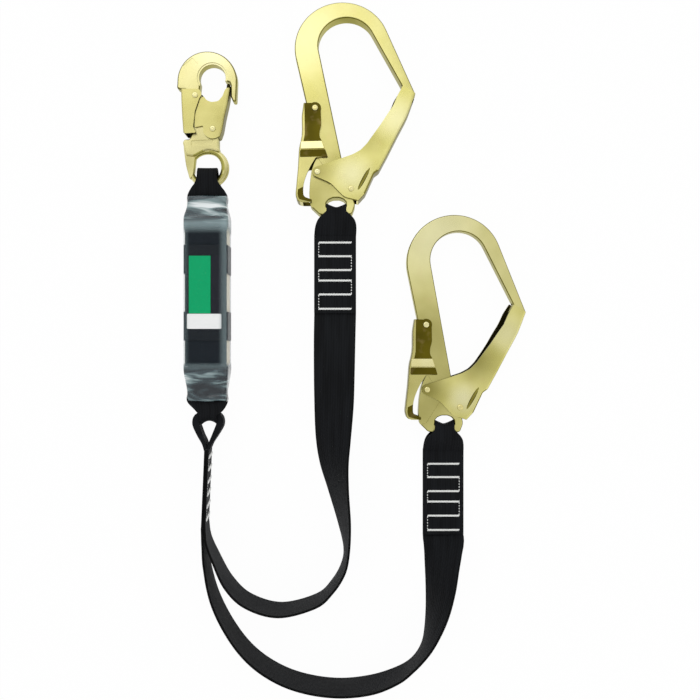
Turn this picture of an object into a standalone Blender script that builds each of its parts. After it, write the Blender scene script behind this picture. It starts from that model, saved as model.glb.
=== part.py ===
"""Twin-leg webbing lanyard with an energy absorber, a snap hook and two scaffold hooks.

Metres, +Z up. The lanyard lies on a table at z = 0 with its hooks towards +Y. The origin is on
the table, at the middle of the box around everything but the two free webbing legs.
"""

from math import atan2, cos, degrees, hypot, pi, radians, sin

import bmesh
import bpy
from mathutils import Matrix, Vector

# Shared by every piece.
GAP = 0.0003  # between two pieces that touch
WEB_WIDTH = 0.045
WEB_THICK = 0.0022
RIVET_RADIUS = 0.0025
RIVET_HEAD_RADIUS = 0.0035
RIVET_HEAD = 0.0011
SPRING_WIRE = 0.0011
SPRING_RADIUS = 0.0046
SPRING_TURNS = 2.5
THREAD = 0.0012

# Scaffold hook. Heights are above the middle of the bar that the webbing goes round.
HOOK_THICK = 0.013
HOOK_SHEET = 0.0018
HOOK_CHAMFER = 0.0011
THROAT_RADIUS = 0.031
THROAT_HEIGHT = 0.1842
THROAT_OFFSET = 0.0155
CROWN_RADIUS = 0.052
CROWN_WIDTH = 0.018
SPINE_WIDTH = 0.0257
SPINE_LEAN = 10.3
ARM_LEAN = 26.8
ARM_OUTER_LEAN = 21.8
GATE_PIVOT = (0.0164, 0.0235)
GATE_REACH = 0.1263
GATE_LAP = 0.009
GATE_DEPTH = 0.0215
LEVER_PIVOT = (-0.0203, 0.1134)
LEVER_DROP = 0.1035
LEVER_FLANGE = 0.0075
LEVER_STAND_OFF = 0.0125
EYE_WIDTH = 0.0214
EYE_HEIGHT = 0.0145
BAR_DEPTH = 0.008
TAIL_REACH = 0.0406
TAIL_RADIUS = 0.0055

# Snap hook. Heights are above the middle of the ring's bar.
SNAP_THICK = 0.012
SNAP_SHEET = 0.0016
SNAP_CHAMFER = 0.001
RING_RADIUS = 0.018
RING_BAR = 0.008
SNAP_CROWN_RADIUS = 0.0325
SNAP_CROWN_HEIGHT = 0.1117
SNAP_HOLE_RADIUS = 0.0143
SNAP_HOLE_HEIGHT = 0.1154
SNAP_HOLE_OFFSET = 0.0054
NOSE_WIDTH = 0.0067
NOSE_HEIGHT = 0.088
SNAP_GATE_PIVOT = (0.0062, 0.0594)
SNAP_GATE_BOSS = 0.0108
SNAP_GATE_TIP = 0.1035
LOBE_DROP = 0.0092  # from the crown's middle down to the lobe over the lever
LEVER_RISE = 0.0068  # from the lever's pivot up to its top edge
LEVER_CLEAR = 0.0006
SNAP_LEVER_OFFSET = -0.0125
SNAP_LEVER_END = 0.0538
NECK_WIDTH = 0.037
NECK_HEIGHT = 0.038

# Energy absorber pack.
PACK_LENGTH = 0.156
PACK_HEIGHT = 0.023
BAND_WIDTH = 0.031
BAND_THICK = 0.001
SLEEVE_WALL = 0.0005
SLEEVE_ABOVE = 0.028
SLEEVE_BELOW = 0.038
MOUTH = (0.0432, 0.0185)
LABEL_THICK = 0.0004
LABEL_LENGTH = 0.062
GREEN_WIDTH = 0.0233
CHARCOAL_WIDTH = 0.0125
WHITE_LABEL = (0.037, 0.0162)

# Webbing where it is folded narrow.
NECK_WEB = 0.020
TAB_1_LENGTH = 0.108
TAB_2_LENGTH = 0.118
TAB_1_ASIDE = -0.0014  # its flat part lies a little to the left of the hook's bar
SHOULDER = 0.006
TAB_FLAT = 0.030  # from the bar to where the two layers lie flat
LINK_HALF = 0.009
STRAND = (0.007, 0.012)
SEWN_LENGTH = 0.082
STITCH_BARS = 6
STITCH_MARGIN = 0.005
TAB_SEWN = 0.082  # of each tab, with the margins past its first and last bar

# Where things lie on the table. The pack and the snap hook follow from the legs' eye.
LINK_PLACE = (-0.1552, -0.1593)
LINK_RUN = 0.0537  # webbing that shows between the legs' eye and the pack
RING_RUN = 0.0423  # and between the pack and the snap hook's ring
PACK_OFFSET = -0.1564
RING_OFFSET = -0.1563
HOOK_1_PLACE = (-0.0156, 0.0594)
HOOK_2_PLACE = (0.1021, -0.1742)
HOOK_1_TILT = 5.0
HOOK_1_YAW = 1.4  # degrees to the left, seen from above

# Fits that follow from the sizes above.
PACK_PLACE = (PACK_OFFSET, LINK_PLACE[1] + LINK_RUN + PACK_LENGTH / 2)
RING_PLACE = (RING_OFFSET, PACK_PLACE[1] + PACK_LENGTH / 2 + RING_RUN)
SNAP_LEVER_PIVOT = (
    SNAP_LEVER_OFFSET, SNAP_CROWN_HEIGHT - LOBE_DROP - LEVER_CLEAR - LEVER_RISE,
)
HOOK_GATE_IN = HOOK_THICK / 2 + 0.0004
HOOK_GATE_OUT = HOOK_GATE_IN + HOOK_SHEET
SNAP_GATE_IN = SNAP_THICK / 2 + 0.0004
SNAP_GATE_OUT = SNAP_GATE_IN + SNAP_SHEET
SNAP_LEVER_IN = SNAP_GATE_OUT + 0.0004
SNAP_LEVER_OUT = SNAP_LEVER_IN + SNAP_SHEET
BAR_LOOP = hypot(BAR_DEPTH / 2, HOOK_THICK / 2 - HOOK_CHAMFER / 2) + GAP
SEAM_RADIUS = GATE_REACH
NOSE_RADIUS = GATE_REACH - GATE_LAP
CROWN_TOP = THROAT_HEIGHT + THROAT_RADIUS + CROWN_WIDTH
SLEEVE_HALF = PACK_HEIGHT / 2 + GAP + BAND_THICK + GAP + LABEL_THICK + GAP + SLEEVE_WALL
HOOK_REST = HOOK_GATE_OUT + GAP + RIVET_HEAD
SNAP_REST = SNAP_LEVER_OUT + GAP + RIVET_HEAD
HOOK_1_REST = CROWN_TOP * sin(radians(HOOK_1_TILT)) + HOOK_THICK / 2
THROUGH = 0.004  # how far a cutter runs past the piece it cuts
PACK_Z = SLEEVE_HALF
LINK_TUNNEL = hypot(STRAND[0] / 2 + 0.0012, STRAND[1] / 2) + 3 * GAP

# Routes of the two free legs: x, y, height of the webbing's middle, and how far it leans over
# from standing on its edge, in degrees. Both are read from the sewn join to the hook's tab.
LEG_1_ROUTE = (
    (-0.1577, -0.2758, 0.0225, 0),
    (-0.1553, -0.2923, 0.0225, 0),
    (-0.1477, -0.3105, 0.0225, 0),
    (-0.1323, -0.3394, 0.0225, 0),
    (-0.1111, -0.3593, 0.0225, 0),
    (-0.0764, -0.3691, 0.0225, 0),
    (-0.0372, -0.3593, 0.0225, 0),
    (-0.0197, -0.3437, 0.0225, 1),
    (-0.0085, -0.3251, 0.0225, 3),
    (-0.0050, -0.3063, 0.0228, 6),
    (-0.0077, -0.2751, 0.0238, 18),
    (-0.0142, -0.2375, 0.0252, 31),
    (-0.0183, -0.2103, 0.0264, 44),
    (-0.0192, -0.1843, 0.0272, 57),
    (-0.0183, -0.1449, 0.0273, 72),
    (-0.0180, -0.1113, 0.0271, 79),
    (-0.0176, -0.0773, 0.0269, 85),
    (-0.0170, -0.0497, 0.0267, 88),
)
LEG_2_ROUTE = (
    (-0.1604, -0.2758, 0.0225, 0),
    (-0.1592, -0.2963, 0.0225, 0),
    (-0.1562, -0.3193, 0.0225, 0),
    (-0.1465, -0.3573, 0.0225, 0),
    (-0.1280, -0.3928, 0.0225, 0),
    (-0.1053, -0.4199, 0.0225, 0),
    (-0.0768, -0.4389, 0.0225, 0),
    (-0.0456, -0.4495, 0.0225, 0),
    (-0.0110, -0.4535, 0.0225, 0),
    (0.0230, -0.4497, 0.0225, 0),
    (0.0503, -0.4398, 0.0225, 0),
    (0.0662, -0.4290, 0.0225, 1),
    (0.0779, -0.4150, 0.0225, 3),
    (0.0860, -0.3973, 0.0224, 9),
    (0.0932, -0.3713, 0.0212, 23),
    (0.0972, -0.3463, 0.0185, 37),
    (0.0992, -0.3233, 0.0152, 50),
    (0.1008, -0.3073, 0.0122, 61),
    (0.1020, -0.2992, 0.0082, 73),
    (0.1021, -0.2933, 0.0033, 87),
)
LEG_STEP = 0.012



def clear_scene():
    for obj in list(bpy.data.objects):
        bpy.data.objects.remove(obj)


def collection(name):
    made = bpy.data.collections.new(name)
    bpy.context.scene.collection.children.link(made)
    return made


clear_scene()
parts = collection("y_lanyard")


def material(name, colour, roughness, metallic=0.0, alpha=1.0):
    made = bpy.data.materials.new(name)
    made.use_nodes = True
    shader = made.node_tree.nodes["Principled BSDF"]
    shader.inputs["Base Color"].default_value = (*colour, 1)
    shader.inputs["Roughness"].default_value = roughness
    shader.inputs["Metallic"].default_value = metallic
    shader.inputs["Alpha"].default_value = alpha
    made.diffuse_color = (*colour, alpha)
    return made


zinc = (0.60, 0.50, 0.17)
black = (0.012, 0.013, 0.015)
white = (0.80, 0.80, 0.78)


def evaluated_mesh(obj):
    """The object's mesh with its modifiers applied; the object is removed."""
    bpy.context.view_layer.update()
    graph = bpy.context.evaluated_depsgraph_get()
    mesh = bpy.data.meshes.new_from_object(obj.evaluated_get(graph))
    bpy.data.objects.remove(obj)
    return mesh


def welded(mesh):
    form = bmesh.new()
    form.from_mesh(mesh)
    bmesh.ops.remove_doubles(form, verts=form.verts, dist=1e-7)
    bmesh.ops.recalc_face_normals(form, faces=form.faces)
    form.to_mesh(mesh)
    form.free()
    return mesh


def scratch(data):
    obj = bpy.data.objects.new("scratch", data)
    parts.objects.link(obj)
    return obj


def flat(outline, thick, holes=(), chamfer=0.0):
    """A plate of this outline, centred on height 0, with its rims chamfered."""
    curve = bpy.data.curves.new("outline", "CURVE")
    curve.dimensions = "2D"
    curve.fill_mode = "BOTH"
    curve.extrude = thick / 2 - chamfer
    curve.bevel_depth = chamfer
    curve.offset = -chamfer
    curve.bevel_resolution = 0
    for loop in (outline, *holes):
        spline = curve.splines.new("POLY")
        spline.points.add(len(loop) - 1)
        for point, (x, y) in zip(spline.points, loop):
            point.co = (x, y, 0, 1)
        spline.use_cyclic_u = True
    return welded(evaluated_mesh(scratch(curve)))


def joined(mesh, others, operation="DIFFERENCE"):
    """The mesh after each of the others is cut from it or added to it."""
    obj = scratch(mesh)
    helpers = []
    for other in others:
        helper = scratch(other)
        helper.hide_render = True
        helper.display_type = "WIRE"
        step = obj.modifiers.new("step", "BOOLEAN")
        step.operation = operation
        step.object = helper
        helpers.append(helper)
    made = evaluated_mesh(obj)
    for helper in helpers:
        bpy.data.objects.remove(helper)
    return made


def cylinder(radius, low, high, centre, sides=16):
    form = bmesh.new()
    bmesh.ops.create_cone(
        form, cap_ends=True, segments=sides, radius1=radius, radius2=radius,
        depth=high - low,
    )
    mesh = bpy.data.meshes.new("cylinder")
    form.to_mesh(mesh)
    form.free()
    mesh.transform(Matrix.Translation((*centre, (low + high) / 2)))
    return mesh


def place(name, mesh, look, parent, offset=(0, 0, 0), smooth=30):
    """Adds the piece under its parent, with its mesh moved so that its origin is the parent's."""
    mesh = mesh.copy()
    mesh.name = name
    mesh.transform(Matrix.Translation(-Vector((*offset[:2], 0))))
    mesh.materials.clear()
    mesh.materials.append(look)
    mesh.shade_smooth()
    mesh.set_sharp_from_angle(angle=radians(smooth))
    obj = bpy.data.objects.new(name, mesh)
    parts.objects.link(obj)
    obj.parent = parent
    return obj


def joint_axis(name, at, parent=None, tilt=0.0, yaw=0.0):
    """An empty on a joint's axis, which the moving pieces hang from."""
    empty = bpy.data.objects.new(name, None)
    parts.objects.link(empty)
    empty.empty_display_size = 0.01
    empty.location = at
    empty.rotation_euler = (radians(-tilt), 0, radians(yaw))
    empty.parent = parent
    return empty


def arc(centre, radius, start, end, count):
    """Points on an arc, angles in degrees, both ends included."""
    found = []
    for i in range(count + 1):
        angle = radians(start + (end - start) * i / count)
        found.append((centre[0] + radius * cos(angle), centre[1] + radius * sin(angle)))
    return found


def smooth_path(points, step):
    """Points along a Catmull-Rom curve through the given ones, about one step apart."""
    rows = [Vector(p) for p in points]
    rows = [2 * rows[0] - rows[1], *rows, 2 * rows[-1] - rows[-2]]
    found = []
    for a, b, c, d in zip(rows, rows[1:], rows[2:], rows[3:]):
        count = max(1, round((c - b).to_3d().length / step))
        for i in range(count):
            t = i / count
            found.append(
                0.5 * ((2 * b) + (c - a) * t + (2 * a - 5 * b + 4 * c - d) * t * t
                       + (3 * b - a - 3 * c + d) * t * t * t)
            )
    found.append(rows[-2])
    return found


def offset_line(points, distance):
    """An open line moved sideways, to the left of its direction when distance is positive."""
    found = []
    for i, (x, y) in enumerate(points):
        x0, y0 = points[max(i - 1, 0)]
        x1, y1 = points[min(i + 1, len(points) - 1)]
        length = hypot(x1 - x0, y1 - y0)
        found.append((x - (y1 - y0) / length * distance, y + (x1 - x0) / length * distance))
    return found


def run_on(points, distance):
    """The line with both its ends lengthened."""
    (ax, ay), (bx, by) = points[:2]
    (cx, cy), (dx, dy) = points[-2:]
    head = distance / hypot(bx - ax, by - ay)
    tail = distance / hypot(dx - cx, dy - cy)
    start = (ax + (ax - bx) * head, ay + (ay - by) * head)
    end = (dx + (dx - cx) * tail, dy + (dy - cy) * tail)
    return [start, *points, end]


def channel(web, rim, inside, sheet, extra=()):
    """A folded sheet channel. web is the folded side and rim the open one, run one way round
    with the metal on the left of web."""
    plate = flat([*web, *rim], 2 * (inside + sheet))
    hollow = [*run_on(offset_line(web, sheet), THROUGH), *offset_line(rim, -THROUGH)]
    return joined(plate, [flat(hollow, 2 * inside), *extra])


def rivet(half):
    """A turned pin with a low head at each end, half its grip length either way."""
    shank, head, top = RIVET_RADIUS, RIVET_HEAD_RADIUS, half + GAP + RIVET_HEAD
    seat = half + GAP
    profile = (
        (0, top), (head * 0.6, top), (head, seat + RIVET_HEAD * 0.3), (head, seat),
        (shank, seat), (shank, -seat), (head, -seat), (head, -seat - RIVET_HEAD * 0.3),
        (head * 0.6, -top), (0, -top),
    )
    mesh = bpy.data.meshes.new("rivet")
    mesh.from_pydata([(x, 0, z) for x, z in profile], [(i, i + 1) for i in range(9)], [])
    obj = scratch(mesh)
    turn = obj.modifiers.new("turn", "SCREW")
    turn.steps = 16
    turn.render_steps = 16
    turn.use_merge_vertices = True
    turn.merge_threshold = 1e-5
    turn.use_normal_calculate = True
    return welded(evaluated_mesh(obj))


def stud(low, high):
    """A short rivet through one cheek only, its head outside."""
    profile = (
        (0, high + RIVET_HEAD), (RIVET_HEAD_RADIUS * 0.6, high + RIVET_HEAD),
        (RIVET_HEAD_RADIUS, high + GAP), (RIVET_RADIUS, high + GAP), (RIVET_RADIUS, low),
        (0, low),
    )
    mesh = bpy.data.meshes.new("stud")
    mesh.from_pydata([(x, 0, z) for x, z in profile], [(i, i + 1) for i in range(5)], [])
    obj = scratch(mesh)
    turn = obj.modifiers.new("turn", "SCREW")
    turn.steps = 16
    turn.render_steps = 16
    turn.use_merge_vertices = True
    turn.merge_threshold = 1e-5
    turn.use_normal_calculate = True
    return welded(evaluated_mesh(obj))


def torsion_spring(name, back):
    """One unbroken wire: two and a half curls with a short straight leg at each end, sitting
    just inside the face at the height back."""
    count = 8
    pitch = SPRING_WIRE + 0.00045
    low = back + SPRING_WIRE / 2 + GAP
    rows = []
    total = round(SPRING_TURNS * count)
    for i in range(total + 1):
        angle = 2 * pi * i / count
        rows.append(Vector((SPRING_RADIUS * cos(angle), SPRING_RADIUS * sin(angle),
                            low + pitch * i / count)))
    last = 2 * pi * SPRING_TURNS
    reach = 0.0022
    rows.insert(0, rows[0] + Vector((0, -reach, 0)))
    rows.append(rows[-1] + Vector((-sin(last), cos(last), 0)) * reach)
    near = min(
        (a - b).length for i, a in enumerate(rows) for b in rows[i + 5:]
    ) - SPRING_WIRE
    print(f"{name}: least gap to itself {near * 1000:.2f} mm")
    curve = bpy.data.curves.new("spring", "CURVE")
    curve.dimensions = "3D"
    curve.bevel_depth = SPRING_WIRE / 2
    curve.bevel_resolution = 1
    curve.use_fill_caps = True
    spline = curve.splines.new("POLY")
    spline.points.add(len(rows) - 1)
    for point, row in zip(spline.points, rows):
        point.co = (*row, 1)
    return welded(evaluated_mesh(scratch(curve)))


def spring_pocket(centre, thick):
    """The round recess for a torsion spring in the back face of a body."""
    depth = SPRING_TURNS * (SPRING_WIRE + 0.00045) + SPRING_WIRE + 2 * GAP
    radius = hypot(SPRING_RADIUS, 0.0022) + SPRING_WIRE / 2 + GAP
    return cylinder(radius, -thick / 2 - THROUGH, -thick / 2 + depth, centre, 24)


def band(stations):
    """Webbing through stations (centre, across, width, thick): a loft, because its width and
    thickness change where it is folded. across is the direction of its width."""
    form = bmesh.new()
    rings = []
    for i, (centre, across, width, thick) in enumerate(stations):
        before = Vector(stations[max(i - 1, 0)][0])
        after = Vector(stations[min(i + 1, len(stations) - 1)][0])
        across = Vector(across).normalized()
        through = (after - before).cross(across).normalized()
        centre = Vector(centre)
        half, deep = across * width / 2, through * thick / 2
        ring = [centre - half - deep, centre + half - deep, centre + half + deep,
                centre - half + deep]
        rings.append([form.verts.new(corner) for corner in ring])
    for one, two in zip(rings, rings[1:]):
        for i in range(4):
            form.faces.new((one[i], one[i - 1], two[i - 1], two[i]))
    form.faces.new(rings[0])
    form.faces.new(rings[-1][::-1])
    bmesh.ops.recalc_face_normals(form, faces=form.faces)
    mesh = bpy.data.meshes.new("band")
    form.to_mesh(mesh)
    form.free()
    return mesh


def thread(points):
    """One sewn line of thread along these points."""
    curve = bpy.data.curves.new("thread", "CURVE")
    curve.dimensions = "3D"
    curve.bevel_depth = THREAD / 2
    curve.bevel_resolution = 1
    curve.use_fill_caps = True
    spline = curve.splines.new("POLY")
    spline.points.add(len(points) - 1)
    for point, row in zip(spline.points, points):
        point.co = (*row, 1)
    return welded(evaluated_mesh(scratch(curve)))


def serpentine(length, half, margin):
    """Bars across the webbing, joined at alternate ends: (along, across) pairs."""
    step = (length - 2 * margin) / (STITCH_BARS - 1)
    found = []
    for i in range(STITCH_BARS):
        side = 1 if i % 2 else -1
        found.append((margin + step * i, -side * half))
        found.append((margin + step * i, side * half))
    return found


# Scaffold hook, drawn in its own plane with the webbing bar's middle at (0, 0).
def throat_edge():
    """The inside edge from the foot of the spine over the crown to the arm."""
    centre = (THROAT_OFFSET, THROAT_HEIGHT)
    crown = arc(centre, THROAT_RADIUS, 180 + SPINE_LEAN, ARM_LEAN, 20)
    foot_height = 0.057
    drop = crown[0][1] - foot_height
    foot = (crown[0][0] + drop * sin(radians(SPINE_LEAN)) / cos(radians(SPINE_LEAN)),
            foot_height)
    return foot, crown


def crown_edge():
    """The outside edge of the crown, from the spine's side to the arm's."""
    inner_left = THROAT_OFFSET - THROAT_RADIUS
    inner_top = THROAT_HEIGHT + THROAT_RADIUS
    centre = (inner_left - SPINE_WIDTH + CROWN_RADIUS, inner_top + CROWN_WIDTH - CROWN_RADIUS)
    return arc(centre, CROWN_RADIUS, 180 + SPINE_LEAN + 1.2, ARM_OUTER_LEAN, 24)


def reach_point(start, lean, radius):
    """Where a line that leans off straight down meets the circle about the gate's pivot."""
    dx, dy = sin(radians(lean)), -cos(radians(lean))
    px, py = start[0] - GATE_PIVOT[0], start[1] - GATE_PIVOT[1]
    b = px * dx + py * dy
    c = px * px + py * py - radius * radius
    along = -b - (b * b - c) ** 0.5
    return (start[0] + dx * along, start[1] + dy * along)


def toward_pivot(point, radius):
    dx, dy = point[0] - GATE_PIVOT[0], point[1] - GATE_PIVOT[1]
    scale = radius / hypot(dx, dy)
    return (GATE_PIVOT[0] + dx * scale, GATE_PIVOT[1] + dy * scale)


def pivot_angle(point):
    return degrees(atan2(point[1] - GATE_PIVOT[1], point[0] - GATE_PIVOT[0]))


def spine_outer(height):
    """The spine's outer edge at a height."""
    top = crown_edge()[0]
    lean = radians(SPINE_LEAN + 1.2)
    return top[0] + (top[1] - height) * sin(lean) / cos(lean)


def hook_body():
    foot, crown_in = throat_edge()
    crown_out = crown_edge()
    seam_in = reach_point(crown_in[-1], ARM_LEAN, SEAM_RADIUS)
    seam_out = reach_point(crown_out[-1], ARM_OUTER_LEAN, SEAM_RADIUS)
    nose_out = toward_pivot((seam_out[0] - 0.0015, seam_out[1]), NOSE_RADIUS)
    nose_in = toward_pivot(seam_in, NOSE_RADIUS)
    nose = arc(GATE_PIVOT, NOSE_RADIUS, pivot_angle(nose_out), pivot_angle(nose_in), 4)
    bar = -BAR_DEPTH / 2
    side = EYE_WIDTH / 2
    px, py = GATE_PIVOT
    boss = arc(GATE_PIVOT, 0.0105, -62, 78, 8)
    lobe = [
        (side + 0.0062, bar + 0.0010), (side + 0.0096, 0.0060), (side + 0.0082, 0.0123),
    ]
    left = [
        (spine_outer(0.062), 0.062), (-0.0232, 0.0520), (-0.0258, 0.0440), (-0.0276, 0.0320),
        (-0.0285, 0.0200), (-0.0282, 0.0120), (-side - 0.0165, 0.0058),
        (-side - 0.0076, bar + 0.0010), (-side - 0.0030, bar),
    ]
    outline = [
        *left, (side + 0.0030, bar), *lobe, *boss, (foot[0] + 0.004, foot[1] - 0.006), foot,
        *crown_in, seam_in, *nose[::-1], seam_out, *crown_out[::-1],
    ]
    eye = [
        (-side, BAR_DEPTH / 2), (side, BAR_DEPTH / 2), (side, EYE_HEIGHT - 0.0052),
        (side * 0.72, EYE_HEIGHT - 0.0018), (side * 0.3, EYE_HEIGHT),
        (-side * 0.3, EYE_HEIGHT), (-side * 0.72, EYE_HEIGHT - 0.0018),
        (-side, EYE_HEIGHT - 0.0052),
    ]
    plate = flat(outline, HOOK_THICK, [eye], HOOK_CHAMFER)
    half = HOOK_THICK / 2 + THROUGH
    return joined(plate, [
        cylinder(RIVET_RADIUS + GAP, -half, half, GATE_PIVOT),
        cylinder(RIVET_RADIUS + GAP, -half, half, LEVER_PIVOT),
        spring_pocket(GATE_PIVOT, HOOK_THICK),
        spring_pocket(LEVER_PIVOT, HOOK_THICK),
    ])


def gate_edges():
    """The gate's folded outer side and its open inner side, seen from the front."""
    crown_in, crown_out = throat_edge()[1], crown_edge()
    tip_in = reach_point(crown_in[-1], ARM_LEAN, SEAM_RADIUS)
    tip_out = reach_point(crown_out[-1], ARM_OUTER_LEAN, SEAM_RADIUS)
    px, py = GATE_PIVOT
    knee = (px + 0.0303, py + 0.0196)
    web = [
        (px + 0.0072, py - 0.0137), (px + 0.0149, py - 0.0056), (px + 0.0251, py + 0.0160),
        knee, (px + 0.0405, py + 0.0380), (px + 0.0515, py + 0.0590),
        (px + 0.0633, py + 0.0805), tip_out,
    ]
    bend = toward_pivot((tip_in[0] - 0.0062, tip_in[1] - 0.0112), SEAM_RADIUS - 0.0128)
    tail_x = px - TAIL_REACH * cos(radians(28.4))
    tail_y = py + TAIL_REACH * sin(radians(28.4))
    tail = arc((tail_x, tail_y), TAIL_RADIUS, 120, 235, 4)
    rim = [
        *arc(GATE_PIVOT, SEAM_RADIUS, pivot_angle(tip_out), pivot_angle(tip_in), 3)[1:],
        bend, (bend[0] - 0.0046, bend[1] - 0.0105),
        (tip_in[0] - GATE_DEPTH * 0.42 - 0.0090, py + 0.0800),
        (px + 0.0330, py + 0.0690), (px + 0.0255, py + 0.0590), (px + 0.0179, py + 0.0486),
        (px + 0.0112, py + 0.0420), (px + 0.0030, py + 0.0375), (px - 0.0105, py + 0.0330),
        *tail, (px - 0.0219, py + 0.0068), (px - 0.0079, py - 0.0086),
    ]
    return web, rim, (tail_x, tail_y)


def hook_gate():
    web, rim, tail = gate_edges()
    mouth = [
        *arc(GATE_PIVOT, NOSE_RADIUS - GAP - 0.0002, pivot_angle(web[-1]) - 9,
             pivot_angle(web[-1]) + 16, 4),
        *arc(GATE_PIVOT, SEAM_RADIUS + THROUGH, pivot_angle(web[-1]) + 16,
             pivot_angle(web[-1]) - 9, 4),
    ]
    half = HOOK_GATE_OUT + THROUGH
    return channel(web, rim, HOOK_GATE_IN, HOOK_SHEET, [
        flat(mouth, 2 * HOOK_GATE_IN),
        cylinder(RIVET_RADIUS + GAP, -half, half, GATE_PIVOT),
        cylinder(RIVET_RADIUS + GAP, -half, half, tail),
    ]), tail


def hook_lever():
    """The lock lever: a channel whose two cheeks narrow to flanges below."""
    px, py = LEVER_PIVOT
    foot = py - LEVER_DROP
    top, low = py + 0.0060, py - 0.0545
    back = [
        (spine_outer(top) - 0.0030, top), (spine_outer(py - 0.008) - 0.0080, py - 0.008),
        (spine_outer(py - 0.03) - LEVER_STAND_OFF, py - 0.03), (-0.0385, 0.0700),
        (-0.0400, 0.0480), (-0.0425, 0.0250), (-0.0432, foot + 0.0080),
        (-0.0412, foot + 0.0015), (-0.0360, foot),
    ]
    flange = [
        (-0.0262, foot), (-0.0257, foot + 0.0026), (-0.0345, foot + 0.0060),
        (back[5][0] + LEVER_FLANGE, back[5][1]), (-0.0332, 0.0340),
    ]
    cheek = [
        (-0.0300, 0.0420), (-0.0260, 0.0500), (-0.0205, low - 0.0003), (-0.0072, low + 0.0005),
        (-0.0098, low + 0.0060), (-0.0120, low + 0.0150), (-0.0163, low + 0.0225),
        (-0.0160, low + 0.0290), (-0.0140, low + 0.0360),
        *arc(LEVER_PIVOT, 0.0064, -20, 120, 5),
    ]
    lip = back[-1][0] + 0.0005
    under = [(lip, foot - THROUGH), (0, foot - THROUGH), (0, foot + 0.012), (lip, foot + 0.012)]
    half = HOOK_GATE_OUT + THROUGH
    return channel(back, [*flange, *cheek], HOOK_GATE_IN, HOOK_SHEET, [
        flat(under, 2 * HOOK_GATE_IN),
        cylinder(RIVET_RADIUS + GAP, -half, half, LEVER_PIVOT),
    ])


# Snap hook, drawn in its own plane with the middle of the ring's bar at (0, 0).
def snap_body():
    crown = (-0.0002, SNAP_CROWN_HEIGHT)
    right = crown[0] + SNAP_CROWN_RADIUS
    nose_in = right - NOSE_WIDTH
    left = crown[0] - SNAP_CROWN_RADIUS
    px, py = SNAP_GATE_PIVOT
    lever_y = SNAP_LEVER_PIVOT[1]
    lobe = SNAP_CROWN_HEIGHT - LOBE_DROP
    hole = arc((SNAP_HOLE_OFFSET, SNAP_HOLE_HEIGHT), SNAP_HOLE_RADIUS, -14, 205, 20)
    neck = NECK_HEIGHT
    neck_left = -0.0249
    outline = [
        (left - 0.0004, lobe + 0.0014), (left + 0.0030, lobe), (left + 0.0100, lobe),
        (-0.0210, lever_y - 0.0091), (-0.0178, lever_y - 0.0251),
        (-0.0165, 0.0560), (-0.0190, neck + 0.0105), (neck_left, neck + 0.0103),
        (neck_left - 0.0013, neck + 0.0072), (-0.0225, 0.0200), (-0.0180, 0.0050),
        (-0.0150, 0.0120), (-0.0140, 0.0300), (0.0, neck + 0.0010),
        (0.0138, neck - 0.0030), (neck_left + NECK_WIDTH, neck + 0.0020),
        (neck_left + NECK_WIDTH, neck + 0.0095), (px + 0.0052, py - 0.0080),
        *arc(SNAP_GATE_PIVOT, SNAP_GATE_BOSS - 0.0030, -30, 60, 5),
        (0.0010, 0.0800), (-0.0050, 0.0900), (-0.0085, 0.1000),
        *hole[::-1], (nose_in - 0.0012, SNAP_HOLE_HEIGHT - 0.0052),
        (nose_in, SNAP_HOLE_HEIGHT - 0.0090), (nose_in, NOSE_HEIGHT + 0.0070),
        (nose_in + 0.0022, NOSE_HEIGHT + 0.0018), (nose_in + 0.0040, NOSE_HEIGHT),
        (right - 0.0009, NOSE_HEIGHT + 0.0020),
        *arc(crown, SNAP_CROWN_RADIUS, 0, 180, 26),
    ]
    plate = flat(outline, SNAP_THICK, (), SNAP_CHAMFER)
    form = bmesh.new()
    profile = bmesh.ops.create_circle(form, segments=8, radius=RING_BAR / 2)["verts"]
    bmesh.ops.rotate(form, verts=profile, matrix=Matrix.Rotation(pi / 2, 3, "X"))
    bmesh.ops.translate(form, verts=profile, vec=(RING_RADIUS, 0, 0))
    bmesh.ops.spin(form, geom=form.verts[:] + form.edges[:], axis=(0, 0, 1), angle=2 * pi,
                   steps=28, use_merge=True)
    bmesh.ops.recalc_face_normals(form, faces=form.faces)
    ring = bpy.data.meshes.new("ring")
    form.to_mesh(ring)
    form.free()
    ring.transform(Matrix.Translation((0, RING_RADIUS, 0)))
    half = SNAP_THICK / 2 + THROUGH
    body = joined(plate, [ring], "UNION")
    return joined(body, [
        cylinder(RIVET_RADIUS + GAP, -half, half, SNAP_GATE_PIVOT),
        cylinder(RIVET_RADIUS + GAP, -half, half, SNAP_LEVER_PIVOT),
        spring_pocket(SNAP_GATE_PIVOT, SNAP_THICK),
        spring_pocket(SNAP_LEVER_PIVOT, SNAP_THICK),
    ])


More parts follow.
